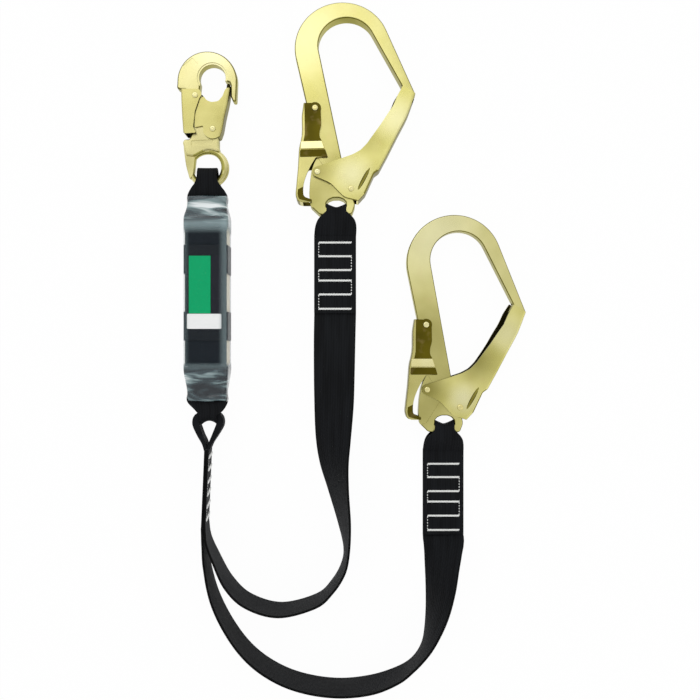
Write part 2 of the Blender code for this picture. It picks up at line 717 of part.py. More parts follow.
def snap_gate():
    px, py = SNAP_GATE_PIVOT
    nose_in = -0.0002 + SNAP_CROWN_RADIUS - NOSE_WIDTH
    tip = SNAP_GATE_TIP
    web = [
        (px + 0.0078, py - 0.0085), (px + 0.0103, py - 0.0013), (px + 0.0130, py + 0.0140),
        (px + 0.0167, py + 0.0301), (nose_in - 0.0007, tip),
    ]
    rim = [
        (nose_in - 0.0042, tip), (nose_in - 0.0062, tip - 0.0025), (px + 0.0108, py + 0.0353),
        (px + 0.0061, py + 0.0297), (px - 0.0016, py + 0.0287), (px - 0.0068, py + 0.0308),
        (px - 0.0097, py + 0.0353), (px - 0.0135, py + 0.0327), (px - 0.0195, py + 0.0140),
        (px - 0.0195, py + 0.0013), (px - 0.0103, py + 0.0032),
        *arc(SNAP_GATE_PIVOT, SNAP_GATE_BOSS, 200, 300, 6),
    ]
    half = SNAP_GATE_OUT + THROUGH
    return channel(web, rim, SNAP_GATE_IN, SNAP_SHEET, [
        cylinder(RIVET_RADIUS + GAP, -half, half, SNAP_GATE_PIVOT),
    ])


def snap_lever():
    px, py = SNAP_LEVER_PIVOT
    end = SNAP_LEVER_END
    web = [
        (px - 0.0154, py + LEVER_RISE), (px - 0.0151, py - 0.0050), (px - 0.0142, py - 0.0230),
        (px - 0.0130, end + 0.0015),
    ]
    rim = [
        (px - 0.0113, end), (px + 0.0010, end + 0.0006), (px - 0.0021, end + 0.0069),
        (px - 0.0002, py - 0.0175), (px + 0.0048, py - 0.0030), (px + 0.0075, py + 0.0005),
        (px + 0.0046, py + LEVER_RISE - 0.0002), (px - 0.0100, py + LEVER_RISE),
    ]
    half = SNAP_LEVER_OUT + THROUGH
    return channel(web, rim, SNAP_LEVER_IN, SNAP_SHEET, [
        cylinder(RIVET_RADIUS + GAP, -half, half, SNAP_LEVER_PIVOT),
    ])


steel = material("yellow_zinc_steel", zinc, 0.32, 1.0)
sheet_steel = material("yellow_zinc_sheet", (0.56, 0.47, 0.15), 0.36, 1.0)
rivet_steel = material("rivet_steel", (0.66, 0.58, 0.28), 0.30, 1.0)
spring_steel = material("spring_steel", (0.45, 0.45, 0.46), 0.30, 1.0)
webbing_look = material("black_webbing", black, 0.75)
cream = material("cream_webbing", (0.72, 0.68, 0.55), 0.8)
thread_look = material("white_thread", white, 0.7)
rubber = material("black_band", (0.02, 0.02, 0.022), 0.55)
film = material("clear_film", (0.80, 0.84, 0.86), 0.12, 0.0, 0.35)
green = material("green_label", (0.01, 0.33, 0.13), 0.45)
charcoal = material("charcoal_label", (0.05, 0.055, 0.055), 0.5)
paper = material("white_label", (0.78, 0.80, 0.80), 0.5)

print("hooks")
body_mesh = hook_body()
gate_mesh, tail_place = hook_gate()
lever_mesh = hook_lever()
rivet_mesh = rivet(HOOK_GATE_OUT)
stud_mesh = stud(HOOK_GATE_IN, HOOK_GATE_OUT)
under_stud = stud_mesh.copy()
under_stud.transform(Matrix.Rotation(pi, 4, "X"))
spring_mesh = torsion_spring("hook springs", -HOOK_THICK / 2)


def at(centre, mesh):
    moved = mesh.copy()
    moved.transform(Matrix.Translation((*centre, 0)))
    return moved


def add_hook(label, spot, rest, tilt, yaw):
    swing = joint_axis(f"{label}_swing", (*spot, rest), None, tilt, yaw)
    gate_axis = joint_axis(f"{label}_gate_axis", (*GATE_PIVOT, 0), swing)
    lever_axis = joint_axis(f"{label}_lock_axis", (*LEVER_PIVOT, 0), swing)
    place(f"{label}_body", body_mesh, steel, swing)
    place(f"{label}_gate", gate_mesh, sheet_steel, gate_axis, GATE_PIVOT)
    place(f"{label}_catch_stud_front", at(tail_place, stud_mesh), rivet_steel, gate_axis,
          GATE_PIVOT)
    place(f"{label}_catch_stud_back", at(tail_place, under_stud), rivet_steel, gate_axis,
          GATE_PIVOT)
    place(f"{label}_lock_lever", lever_mesh, sheet_steel, lever_axis, LEVER_PIVOT)
    place(f"{label}_gate_rivet", at(GATE_PIVOT, rivet_mesh), rivet_steel, swing)
    place(f"{label}_lock_rivet", at(LEVER_PIVOT, rivet_mesh), rivet_steel, swing)
    place(f"{label}_gate_spring", at(GATE_PIVOT, spring_mesh), spring_steel, swing)
    place(f"{label}_lock_spring", at(LEVER_PIVOT, spring_mesh), spring_steel, swing)
    return swing


add_hook("hook_1", HOOK_1_PLACE, HOOK_1_REST, HOOK_1_TILT, HOOK_1_YAW)
add_hook("hook_2", HOOK_2_PLACE, HOOK_REST, 0.0, 0.0)

print("snap hook")
snap_swing = joint_axis("snap_hook_swing", (*RING_PLACE, SNAP_REST))
snap_gate_axis = joint_axis("snap_gate_axis", (*SNAP_GATE_PIVOT, 0), snap_swing)
snap_lever_axis = joint_axis("snap_lock_axis", (*SNAP_LEVER_PIVOT, 0), snap_swing)
snap_rivet = rivet(SNAP_LEVER_OUT)
snap_gate_rivet = rivet(SNAP_GATE_OUT)
snap_spring = torsion_spring("snap hook springs", -SNAP_THICK / 2)
place("snap_hook_body", snap_body(), steel, snap_swing)
place("snap_hook_gate", snap_gate(), sheet_steel, snap_gate_axis, SNAP_GATE_PIVOT)
place("snap_hook_lock_lever", snap_lever(), sheet_steel, snap_lever_axis, SNAP_LEVER_PIVOT)
place("snap_hook_gate_rivet", at(SNAP_GATE_PIVOT, snap_gate_rivet), rivet_steel, snap_swing)
place("snap_hook_lock_rivet", at(SNAP_LEVER_PIVOT, snap_rivet), rivet_steel, snap_swing)
place("snap_hook_gate_spring", at(SNAP_GATE_PIVOT, snap_spring), spring_steel, snap_swing)
place("snap_hook_lock_spring", at(SNAP_LEVER_PIVOT, snap_spring), spring_steel, snap_swing)

print("absorber pack")
ACROSS = (1, 0, 0)
pack_x, pack_y = PACK_PLACE
pack_top = pack_y + PACK_LENGTH / 2
pack_low = pack_y - PACK_LENGTH / 2
pack_half = WEB_WIDTH / 2
layer = (WEB_THICK + GAP) / 2  # from the middle between two layers to the middle of each


def slab(width, length, height, centre, bevel=0.0):
    """A box with rounded edges."""
    form = bmesh.new()
    bmesh.ops.create_cube(form, size=1)
    bmesh.ops.scale(form, verts=form.verts, vec=(width, length, height))
    if bevel:
        bmesh.ops.bevel(form, geom=form.edges[:], offset=bevel, segments=1, profile=0.5,
                        affect="EDGES", material=-1)
    bmesh.ops.translate(form, verts=form.verts, vec=centre)
    mesh = bpy.data.meshes.new("slab")
    form.to_mesh(mesh)
    form.free()
    return mesh


def rounded_box_outline(width, height, corner, count=3):
    x, z = width / 2 - corner, height / 2 - corner
    found = []
    for cx, cz, start in ((x, z, 0), (-x, z, 90), (-x, -z, 180), (x, -z, 270)):
        found += arc((cx, cz), corner, start, start + 90, count)
    return found


def ring_round_pack(inner_width, inner_height, wall, corner, length, centre_y):
    """An open tube round the pack: outline across it, drawn out along it."""
    outer = rounded_box_outline(inner_width + 2 * wall, inner_height + 2 * wall, corner + wall)
    inner = rounded_box_outline(inner_width, inner_height, corner)
    mesh = flat(outer, length, [inner])
    mesh.transform(Matrix.Rotation(pi / 2, 4, "X"))
    mesh.transform(Matrix.Translation((pack_x, centre_y, PACK_Z)))
    return mesh


core_height = PACK_HEIGHT - WEB_THICK - GAP
core_low = PACK_Z - PACK_HEIGHT / 2
place("tear_webbing", slab(WEB_WIDTH, PACK_LENGTH, core_height,
                           (pack_x, pack_y, core_low + core_height / 2), 0.002),
      cream, None)
place("outer_fold", slab(WEB_WIDTH, PACK_LENGTH, WEB_THICK,
                         (pack_x, pack_y, core_low + PACK_HEIGHT - WEB_THICK / 2)),
      webbing_look, None)
band_inner = (WEB_WIDTH + 2 * GAP, PACK_HEIGHT + 2 * GAP)
upper_band_y = pack_top - 0.0255 - BAND_WIDTH / 2
lower_band_y = pack_low + 0.0275 + BAND_WIDTH / 2
for name, height in (("upper_band", upper_band_y), ("lower_band", lower_band_y)):
    place(name, ring_round_pack(*band_inner, BAND_THICK, 0.0008, BAND_WIDTH, height), rubber,
          None)
label_z = PACK_Z + PACK_HEIGHT / 2 + 2 * GAP + BAND_THICK + LABEL_THICK / 2
label_y = pack_y + 0.0095
green_x = pack_x - 0.0060
place("green_label", slab(GREEN_WIDTH, LABEL_LENGTH, LABEL_THICK, (green_x, label_y, label_z)),
      green, None)
charcoal_x = green_x + GREEN_WIDTH / 2 + GAP + CHARCOAL_WIDTH / 2
place("charcoal_label",
      slab(CHARCOAL_WIDTH, LABEL_LENGTH, LABEL_THICK, (charcoal_x, label_y, label_z)),
      charcoal, None)
white_y = label_y - LABEL_LENGTH / 2 - GAP - WHITE_LABEL[1] / 2
place("white_label",
      slab(*WHITE_LABEL, LABEL_THICK, (pack_x - 0.0012, white_y, label_z)), paper, None)
sleeve_length = PACK_LENGTH + SLEEVE_ABOVE + SLEEVE_BELOW
sleeve_y = pack_y + (SLEEVE_ABOVE - SLEEVE_BELOW) / 2
sleeve_width = WEB_WIDTH + 2 * (GAP + BAND_THICK + GAP)


def sleeve():
    """A thin open-ended tube, full over the pack and drawn in towards both mouths: a loft."""
    top, low = sleeve_y + sleeve_length / 2, sleeve_y - sleeve_length / 2
    full = (sleeve_width, 2 * (SLEEVE_HALF - SLEEVE_WALL), 0.0020)
    mouth = (MOUTH[0], MOUTH[1], 0.0050)
    rows = (
        (low, mouth), (low + 0.010, mouth), (pack_low - 0.004, full), (pack_top + 0.004, full),
        (top - 0.010, mouth), (top, mouth),
    )
    form = bmesh.new()
    outer, inner = [], []
    for y, (width, height, corner) in rows:
        wide = rounded_box_outline(width + 2 * SLEEVE_WALL, height + 2 * SLEEVE_WALL,
                                   corner + SLEEVE_WALL)
        outer.append([form.verts.new((pack_x + x, y, PACK_Z + z)) for x, z in wide])
        narrow = rounded_box_outline(width, height, corner)
        inner.append([form.verts.new((pack_x + x, y, PACK_Z + z)) for x, z in narrow])
    for rings in (outer, inner):
        for one, two in zip(rings, rings[1:]):
            for i in range(len(one)):
                form.faces.new((one[i - 1], one[i], two[i], two[i - 1]))
    for one, two in ((outer[0], inner[0]), (outer[-1], inner[-1])):
        for i in range(len(one)):
            form.faces.new((one[i - 1], one[i], two[i], two[i - 1]))
    bmesh.ops.recalc_face_normals(form, faces=form.faces)
    mesh = bpy.data.meshes.new("sleeve")
    form.to_mesh(mesh)
    form.free()
    return mesh


place("clear_sleeve", sleeve(), film, None)

print("pack loops")


def pack_loop(bar, bar_z, mouth_y, end_y, top_y, above, below, neck, flare, sense):
    """Webbing from inside the pack out round a bar and back. above and below are the room it
    leaves over and under the bar's middle. sense is +1 towards +Y."""
    middle = bar_z + (above - below) / 2
    rise = (above + below + WEB_THICK) / 2
    reach = above + WEB_THICK / 2
    tip = top_y - sense * reach
    upper, lower = [], []
    bar_x, bar_y = bar
    rows = (
        (pack_x, end_y, PACK_Z, layer, WEB_WIDTH - 0.002),
        (pack_x, mouth_y - sense * 0.012, PACK_Z, layer, WEB_WIDTH - 0.002),
        (pack_x, mouth_y, PACK_Z * 0.6 + middle * 0.4, layer + (rise - layer) * 0.45,
         WEB_WIDTH - 0.004),
        (bar_x, bar_y - sense * (flare + 0.004), middle, rise * 0.93, neck + 0.0080),
        (bar_x, bar_y - sense * flare, middle, rise, neck),
        (bar_x, tip, middle, rise, neck),
    )
    for x, y, z, half, width in rows:
        upper.append(((x, y, z + half), ACROSS, width, WEB_THICK))
        lower.append(((x, y, z - half), ACROSS, width, WEB_THICK))
    bend = []
    for i in range(1, 8):
        angle = pi / 2 - pi * i / 8
        bend.append(((bar_x, tip + sense * reach * cos(angle), middle + rise * sin(angle)),
                     ACROSS, neck, WEB_THICK))
    return band([*upper, *bend, *lower[::-1]])


ring_half = NECK_WEB / 2
ring_reach = RING_RADIUS - ((RING_RADIUS - RING_BAR / 2) ** 2 - ring_half**2) ** 0.5
upper_tunnel = ring_reach + 2 * GAP
upper_mouth = sleeve_y + sleeve_length / 2
place("upper_loop",
      pack_loop(RING_PLACE, SNAP_REST, upper_mouth, pack_top + GAP, RING_PLACE[1] + 0.0160,
                upper_tunnel, RING_BAR / 2 + GAP, NECK_WEB, 0.0045, 1),
      webbing_look, None)
lower_mouth = sleeve_y - sleeve_length / 2
place("lower_loop",
      pack_loop(LINK_PLACE, PACK_Z, lower_mouth, pack_low - GAP,
                LINK_PLACE[1] - LINK_TUNNEL - WEB_THICK / 2, LINK_TUNNEL, LINK_TUNNEL,
                2 * LINK_HALF, STRAND[1] / 2 + 4 * GAP, -1),
      webbing_look, None)

print("twin legs")
UPRIGHT = (0, 0, 1)
link_x, link_y = LINK_PLACE
strand_thick, strand_tall = STRAND
stand = WEB_WIDTH / 2
side_x = LINK_HALF + GAP + 0.0002 + strand_thick / 2
sewn_top = LEG_1_ROUTE[0][1] + SEWN_LENGTH
join_x = (LEG_1_ROUTE[0][0] + LEG_2_ROUTE[0][0]) / 2


def eye_side(sense):
    """From the sewn join's foot up to the top of the eye, on one side."""
    turn = 0.006
    corner_x = side_x - turn
    rows = [
        ((join_x + sense * layer, LEG_1_ROUTE[0][1] + GAP, stand), WEB_WIDTH, WEB_THICK),
        ((link_x + sense * layer, sewn_top, stand), WEB_WIDTH, WEB_THICK),
        ((link_x + sense * (layer + 0.0028), sewn_top + 0.0075, stand - 0.003),
         WEB_WIDTH * 0.72, WEB_THICK * 1.8),
        ((link_x + sense * (side_x - 0.0040), sewn_top + 0.0160, PACK_Z + 0.0025),
         strand_tall * 1.6, strand_thick * 0.85),
        ((link_x + sense * side_x, link_y - LINK_TUNNEL - WEB_THICK - 0.002, PACK_Z),
         strand_tall, strand_thick),
    ]
    for i in range(1, 5):
        angle = pi / 2 * i / 4
        rows.append(((link_x + sense * (corner_x + turn * cos(angle)),
                      link_y - turn + turn * sin(angle), PACK_Z), strand_tall, strand_thick))
    return [(centre, UPRIGHT, tall, thick) for centre, tall, thick in rows]


left_side, right_side = eye_side(-1), eye_side(1)
place("leg_eye", band([*left_side, *right_side[::-1]]), webbing_look, None)

sewn_face = join_x + layer + WEB_THICK / 2 + GAP + THREAD / 2
slope = (link_x - join_x) / SEWN_LENGTH
rows = []
for along, across in serpentine(SEWN_LENGTH, WEB_WIDTH / 2 - STITCH_MARGIN, 0.004):
    rows.append((sewn_face + slope * along, LEG_1_ROUTE[0][1] + along, stand + across))
place("eye_stitching", thread(rows), thread_look, None)


def leg(route):
    """A free leg: webbing as a curve with its width as the extrusion, leant by its tilt."""
    rows = smooth_path(route, LEG_STEP)
    curve = bpy.data.curves.new("leg", "CURVE")
    curve.dimensions = "3D"
    curve.twist_mode = "Z_UP"
    curve.extrude = (WEB_WIDTH - WEB_THICK) / 2
    curve.bevel_depth = WEB_THICK / 2
    curve.bevel_resolution = 0
    curve.use_fill_caps = True
    spline = curve.splines.new("POLY")
    spline.points.add(len(rows) - 1)
    for point, row in zip(spline.points, rows):
        point.co = (row[0], row[1], row[2], 1)
        point.tilt = radians(row[3])
    return welded(evaluated_mesh(scratch(curve)))


place("leg_1", leg(LEG_1_ROUTE), webbing_look, None, smooth=60)
place("leg_2", leg(LEG_2_ROUTE), webbing_look, None, smooth=60)


def tab(spot, rest, level, length, aside):
    """The leg's end, folded back round the hook's bar and sewn to itself. level is the height
    between its two layers."""
    x, y = spot
    radius = BAR_LOOP + WEB_THICK / 2
    far = y - length
    flat_x = x + aside
    full = y - radius - WEB_THICK / 2 - SHOULDER
    under = [
        ((flat_x, far, level - layer), WEB_WIDTH),
        ((flat_x, y - TAB_FLAT, level - layer), WEB_WIDTH),
        ((flat_x, full, level * 0.5 + (rest - radius) * 0.5 - layer * 0.5), WEB_WIDTH),
        ((x, y - HOOK_THICK / 2 - 2 * GAP, rest - radius * 0.95), NECK_WEB),
        ((x, y - 0.003, rest - radius), NECK_WEB),
    ]
    over = [
        ((flat_x, far, level + layer), WEB_WIDTH),
        ((flat_x, y - TAB_FLAT, level + layer), WEB_WIDTH),
        ((flat_x, full, level * 0.5 + (rest + radius) * 0.5 + layer * 0.5), WEB_WIDTH),
        ((x, y - HOOK_THICK / 2 - 2 * GAP, rest + radius * 0.95), NECK_WEB),
        ((x, y - 0.003, rest + radius), NECK_WEB),
    ]
    bend = []
    for i in range(9):
        angle = -pi / 2 + pi * i / 8
        bend.append(((x, y + radius * cos(angle), rest + radius * sin(angle)), NECK_WEB))
    rows = [*under, *bend, *over[::-1]]
    return band([(centre, ACROSS, width, WEB_THICK) for centre, width in rows])


tab_level_2 = WEB_THICK + GAP * 1.5
for label, spot, rest, level, tab_length, aside in (
    ("1", HOOK_1_PLACE, HOOK_1_REST, HOOK_1_REST, TAB_1_LENGTH, TAB_1_ASIDE),
    ("2", HOOK_2_PLACE, HOOK_REST, tab_level_2, TAB_2_LENGTH, 0.0),
):
    place(f"tab_{label}", tab(spot, rest, level, tab_length, aside), webbing_look, None)
    far = spot[1] - tab_length
    top = level + layer + WEB_THICK / 2 + GAP + THREAD / 2
    rows = [(spot[0] + aside + across, far + along, top)
            for along, across in serpentine(TAB_SEWN, WEB_WIDTH / 2 - STITCH_MARGIN,
                                            STITCH_MARGIN)]
    place(f"tab_{label}_stitching", thread(rows), thread_look, None)
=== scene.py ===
from math import atan2, ceil, cos, degrees, pi, radians, sin, tan

import bmesh
import bpy
from mathutils import Matrix, Vector, noise


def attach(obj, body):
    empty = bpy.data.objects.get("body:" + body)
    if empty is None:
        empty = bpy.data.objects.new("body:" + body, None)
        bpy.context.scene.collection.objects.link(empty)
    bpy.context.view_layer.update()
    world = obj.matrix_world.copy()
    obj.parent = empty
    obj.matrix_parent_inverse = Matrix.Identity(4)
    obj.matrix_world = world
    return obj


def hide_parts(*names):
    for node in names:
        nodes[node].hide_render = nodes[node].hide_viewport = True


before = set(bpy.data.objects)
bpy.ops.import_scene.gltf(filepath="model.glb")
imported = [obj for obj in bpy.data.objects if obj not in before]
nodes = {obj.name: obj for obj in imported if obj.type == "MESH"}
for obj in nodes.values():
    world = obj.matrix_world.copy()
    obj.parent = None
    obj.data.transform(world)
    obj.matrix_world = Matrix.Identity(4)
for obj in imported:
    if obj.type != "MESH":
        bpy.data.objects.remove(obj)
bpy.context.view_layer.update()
print("frame loaded")


# Small tools

def linear(code):  # sRGB hex to linear
    parts = [int(code[i:i + 2], 16) / 255 for i in (1, 3, 5)]
    return (*[p / 12.92 if p <= 0.04045 else ((p + 0.055) / 1.055) ** 2.4 for p in parts], 1)


def setUp(tree, node, settings):
    # a setting is a property, an input's value or the socket that feeds it, or a ramp's stops
    for name, value in settings.items():
        if name == "stops":
            elements = node.color_ramp.elements
            while len(elements) < len(value):
                elements.new(0.5)
            for element, (place, code) in zip(elements, value):
                element.position = place
                element.color = linear(code)
        elif not isinstance(name, int) and name not in node.inputs:
            setattr(node, name, value)
        elif isinstance(value, bpy.types.NodeSocket):
            tree.links.new(value, node.inputs[name])
        else:
            node.inputs[name].default_value = value


def addNode(tree, kind, output, settings=None):
    node = tree.nodes.new("ShaderNode" + kind)
    setUp(tree, node, settings or {})
    return node.outputs[output]


def perMetre(millimetres):  # a texture scale whose features are this far apart
    return 1000 / millimetres


def newMaterial(name, settings):
    made = bpy.data.materials.new(name)
    made.use_nodes = True
    tree = made.node_tree
    shader = tree.nodes["Principled BSDF"]
    setUp(tree, shader, settings)
    return made, tree, shader


def addToScene(name, data):
    made = bpy.data.objects.new(name, data)
    bpy.context.scene.collection.objects.link(made)
    return made


def addObject(name, mesh, body, node, materials, smooth=32, weighted=True):
    mesh.name = name
    for each in materials:
        mesh.materials.append(each)
    mesh.shade_smooth()
    mesh.set_sharp_from_angle(angle=radians(smooth))
    made = addToScene(name, mesh)
    if weighted:  # keeps wide flats flat beside their rounded rims
        made.modifiers.new("weighted", "WEIGHTED_NORMAL").keep_sharp = True
    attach(made, body)
    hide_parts(node)
    return made


def toMesh(form):
    mesh = bpy.data.meshes.new("piece")
    form.to_mesh(mesh)
    form.free()
    return mesh


def finishMesh(form, merge=1e-6):
    bmesh.ops.remove_doubles(form, verts=form.verts, dist=merge)
    bmesh.ops.recalc_face_normals(form, faces=form.faces)
    return toMesh(form)


def eased(t):  # 0 to 1 with a soft start and end
    t = min(1.0, max(0.0, t))
    return t * t * (3 - 2 * t)


def rounded(corners, turn=8):
    # each corner is x, y and the radius that it is rounded to, in millimetres
    line = []
    for i, (x, y, radius) in enumerate(corners):
        here = Vector((x, y))
        before = Vector(corners[i - 1][:2]) - here
        after = Vector(corners[(i + 1) % len(corners)][:2]) - here
        bend = pi - before.angle(after)
        if radius <= 0 or bend < radians(1):
            line.append(here)
            continue
        run = min(radius * tan(bend / 2), before.length * 0.48, after.length * 0.48)
        radius = run / tan(bend / 2)
        start = here + before.normalized() * run
        centre = here + (before.normalized() + after.normalized()).normalized() * (
            radius / cos(bend / 2))
        side = -1 if before.x * after.y - before.y * after.x > 0 else 1
        steps = max(1, ceil(degrees(bend) / turn))
        for k in range(steps + 1):
            arm = start - centre
            arm.rotate(Matrix.Rotation(side * bend * k / steps, 2))
            line.append(centre + arm)
    return [tuple(point) for point in line]


def arc(centre, radius, start, end, count):
    angles = [radians(start + (end - start) * i / count) for i in range(count + 1)]
    return [(centre[0] + radius * cos(a), centre[1] + radius * sin(a), 0) for a in angles]


def plate(outlines, low, high, edge=0.0, steps=3):
    # the first outline is the rim and any others are holes; edge is the rim's rounding
    form = bmesh.new()
    for outline in outlines:
        ring = [form.verts.new((x / 1000, y / 1000, (low + edge) / 1000)) for x, y in outline]
        for one, two in zip(ring, ring[1:] + ring[:1]):
            form.edges.new((one, two))
    bmesh.ops.triangle_fill(form, edges=form.edges[:], use_beauty=True)
    lower = form.faces[:]
    made = bmesh.ops.extrude_face_region(form, geom=lower)["geom"]
    upper = [g for g in made if isinstance(g, bmesh.types.BMFace)]
    raised = [g for g in made if isinstance(g, bmesh.types.BMVert)]
    bmesh.ops.translate(form, verts=raised, vec=(0, 0, (high - low - 2 * edge) / 1000))
    bmesh.ops.recalc_face_normals(form, faces=form.faces)
    if edge:
        for cap in (lower, upper):
            for k in range(steps):
                one, two = pi / 2 * k / steps, pi / 2 * (k + 1) / steps
                bmesh.ops.inset_region(
                    form, faces=cap, use_boundary=True, use_even_offset=True,
                    thickness=edge / 1000 * (cos(one) - cos(two)),
                    depth=edge / 1000 * (sin(two) - sin(one)))
    return finishMesh(form)


def combine(mesh, others, operation="DIFFERENCE"):
    piece = addToScene("piece", mesh)
    helpers = [addToScene("helper", other) for other in others]
    for helper in helpers:
        step = piece.modifiers.new("step", "BOOLEAN")
        step.operation = operation
        step.object = helper
    bpy.context.view_layer.update()
    graph = bpy.context.evaluated_depsgraph_get()
    made = bpy.data.meshes.new_from_object(piece.evaluated_get(graph))
    for each in (piece, *helpers):
        bpy.data.objects.remove(each)
    # cuts leave slivers: merge them, and close what they leave open
    form = bmesh.new()
    form.from_mesh(made)
    bmesh.ops.remove_doubles(form, verts=form.verts, dist=1e-5)
    bmesh.ops.dissolve_degenerate(form, edges=form.edges, dist=2e-6)
    bmesh.ops.holes_fill(form, edges=[edge for edge in form.edges if edge.is_boundary], sides=8)
    form.to_mesh(made)
    form.free()
    return made


def together(*meshes):
    form = bmesh.new()
    for mesh in meshes:
        form.from_mesh(mesh)
    return toMesh(form)


def moved(mesh, matrix):
    mesh = mesh.copy()
    mesh.transform(matrix)
    if matrix.determinant() < 0:
        mesh.flip_normals()
    return mesh


def atSpot(mesh, spot):
    return moved(mesh, Matrix.Translation((spot[0] / 1000, spot[1] / 1000, 0)))


def mirrored(mesh):  # from the front face to the back one
    return moved(mesh, Matrix.Scale(-1, 4, (0, 0, 1)))


def turned(profile, steps=32):
    # a lathe shape from radius and height pairs in millimetres, about Z
    form = bmesh.new()
    row = [form.verts.new((r / 1000, 0, z / 1000)) for r, z in profile]
    edges = [form.edges.new(pair) for pair in zip(row, row[1:])]
    bmesh.ops.spin(form, geom=row + edges, axis=(0, 0, 1), angle=2 * pi, steps=steps,
                   use_merge=True)
    return finishMesh(form)


def pin(radius, low, high, centre):
    return atSpot(turned([(0, low), (radius, low), (radius, high), (0, high)], 28), centre)


def shifted(line, distance):
    # an open line moved to its left
    found = []
    for i, point in enumerate(line):
        one, two = line[max(i - 1, 0)], line[min(i + 1, len(line) - 1)]
        along = Vector((two[0] - one[0], two[1] - one[1])).normalized()
        found.append((point[0] - along.y * distance, point[1] + along.x * distance, point[2]))
    return found


def longer(line, distance):
    first = (Vector(line[0][:2]) - Vector(line[1][:2])).normalized() * distance
    last = (Vector(line[-1][:2]) - Vector(line[-2][:2])).normalized() * distance
    return [(line[0][0] + first.x, line[0][1] + first.y, 0), *line,
            (line[-1][0] + last.x, line[-1][1] + last.y, 0)]


def foldedPlate(web, rim, half, fold, steps=5):
    # a plate whose web side is rolled over towards both faces; web's two ends are square
    line = rounded([(*web[0][:2], 0), *web[1:-1], (*web[-1][:2], 0), *rim])
    end = Vector(web[-1][:2])
    last = min(range(len(line)), key=lambda i: (Vector(line[i]) - end).length)
    turns = [pi / 2 * k / steps for k in range(steps + 1)]
    rise = [(half - fold + fold * sin(t), fold * (1 - cos(t))) for t in turns]
    levels = [*[(-z, d) for z, d in rise[::-1]], *rise]
    form = bmesh.new()
    order = form.verts.layers.int.new("order")
    faces = []
    for z, d in levels:
        inner = shifted([(*p, 0) for p in line[:last + 1]], d)
        spots = [*[p[:2] for p in inner], *line[last + 1:]]
        if faces:
            made = bmesh.ops.extrude_face_region(form, geom=faces)["geom"]
            if z > levels[1][0]:  # the faces between two levels would stay inside
                bmesh.ops.delete(form, geom=faces, context="FACES")
            verts = [g for g in made if isinstance(g, bmesh.types.BMVert)]
            faces = [g for g in made if isinstance(g, bmesh.types.BMFace)]
        else:
            verts = [form.verts.new() for _ in line]
            for i, vert in enumerate(verts):
                vert[order] = i
        for vert in verts:
            x, y = spots[vert[order]]
            vert.co = (x / 1000, y / 1000, z / 1000)
        if not faces:
            for one, two in zip(verts, verts[1:] + verts[:1]):
                form.edges.new((one, two))
            bmesh.ops.triangle_fill(form, edges=form.edges[:], use_beauty=True)
            faces = form.faces[:]
    return finishMesh(form)


def pressedChannel(web, rim, inside, sheet, fold, cuts=()):
    # web is the folded side and rim the open one, with the metal on the left of both
    folded = foldedPlate(web, rim, inside + sheet, fold)
    hollow = plate([rounded([*shifted(longer(web, 5), sheet), *shifted(rim, -5)])],
                   -inside, inside)
    return combine(folded, [hollow, *cuts])


def smoothPath(rows, step):
    # points along a curve through the given ones; any columns after the third ride along
    rows = [Vector(row) for row in rows]
    rows = [2 * rows[0] - rows[1], *rows, 2 * rows[-1] - rows[-2]]
    found = []
    for a, b, c, d in zip(rows, rows[1:], rows[2:], rows[3:]):
        count = max(1, round((Vector(c[:3]) - Vector(b[:3])).length / step))
        for i in range(count):
            t = i / count
            found.append(0.5 * ((2 * b) + (c - a) * t + (2 * a - 5 * b + 4 * c - d) * t * t
                                + (3 * b - a - 3 * c + d) * t * t * t))
    found.append(rows[-2])
    return found


# Webbing's cross section: flat faces between two slightly fuller selvedges
webEdge = [(-0.90, 1.0), (-0.955, 1.10), (-0.985, 0.78), (-1.0, 0.0), (-0.985, -0.78),
           (-0.955, -1.10), (-0.90, -1.0)]
webFace = [-0.7, -0.5, -0.3, -0.1, 0.1, 0.3, 0.5, 0.7]
webSection = [*[(a, 1.0) for a in webFace[::-1]], *webEdge, *[(a, -1.0) for a in webFace],
              *[(-a, b) for a, b in webEdge[::-1]]]


def webStrip(stations, cup=0.0, dips=None, peak=2.0, seed=0.0):
    # stations hold centre, across, width and thickness; a sheet is wrapped round the section
    count, around = len(stations), len(webSection)
    form = bmesh.new()
    bmesh.ops.create_grid(form, x_segments=count - 1, y_segments=around, size=1)
    along = 0.0
    rows = []
    for i, (centre, across, width, thick) in enumerate(stations):
        before, after = stations[max(i - 1, 0)][0], stations[min(i + 1, count - 1)][0]
        if i:
            along += (centre - before).length
        across = across.normalized()
        rows.append((centre, across, (after - before).cross(across).normalized(), width,
                     thick, along))
    layer = form.loops.layers.uv.new("webbing")
    places = {}
    for vert in form.verts:
        i = round((vert.co.x + 1) / 2 * (count - 1))
        k = round((vert.co.y + 1) / 2 * around) % around
        centre, across, through, width, thick, along = rows[i]
        a, b = webSection[k]
        bow = cup * (1 - a * a) * noise.noise((along * 14, seed, 0.3))
        lift = through * (b * thick / 2 + bow)
        dip = Vector((0, 0, 0)) if dips is None else dips[i] * (1 - abs(a) ** peak)
        vert.co = centre + across * (a * width / 2) + lift + dip
        places[vert] = (along, a * width / 2)
    for face in form.faces:
        for loop in face.loops:
            loop[layer].uv = places[loop.vert]
    bmesh.ops.remove_doubles(form, verts=form.verts, dist=1e-7)
    ends = [edge for edge in form.edges if edge.is_boundary]
    bmesh.ops.holes_fill(form, edges=ends, sides=0)
    bmesh.ops.recalc_face_normals(form, faces=form.faces)
    return toMesh(form)


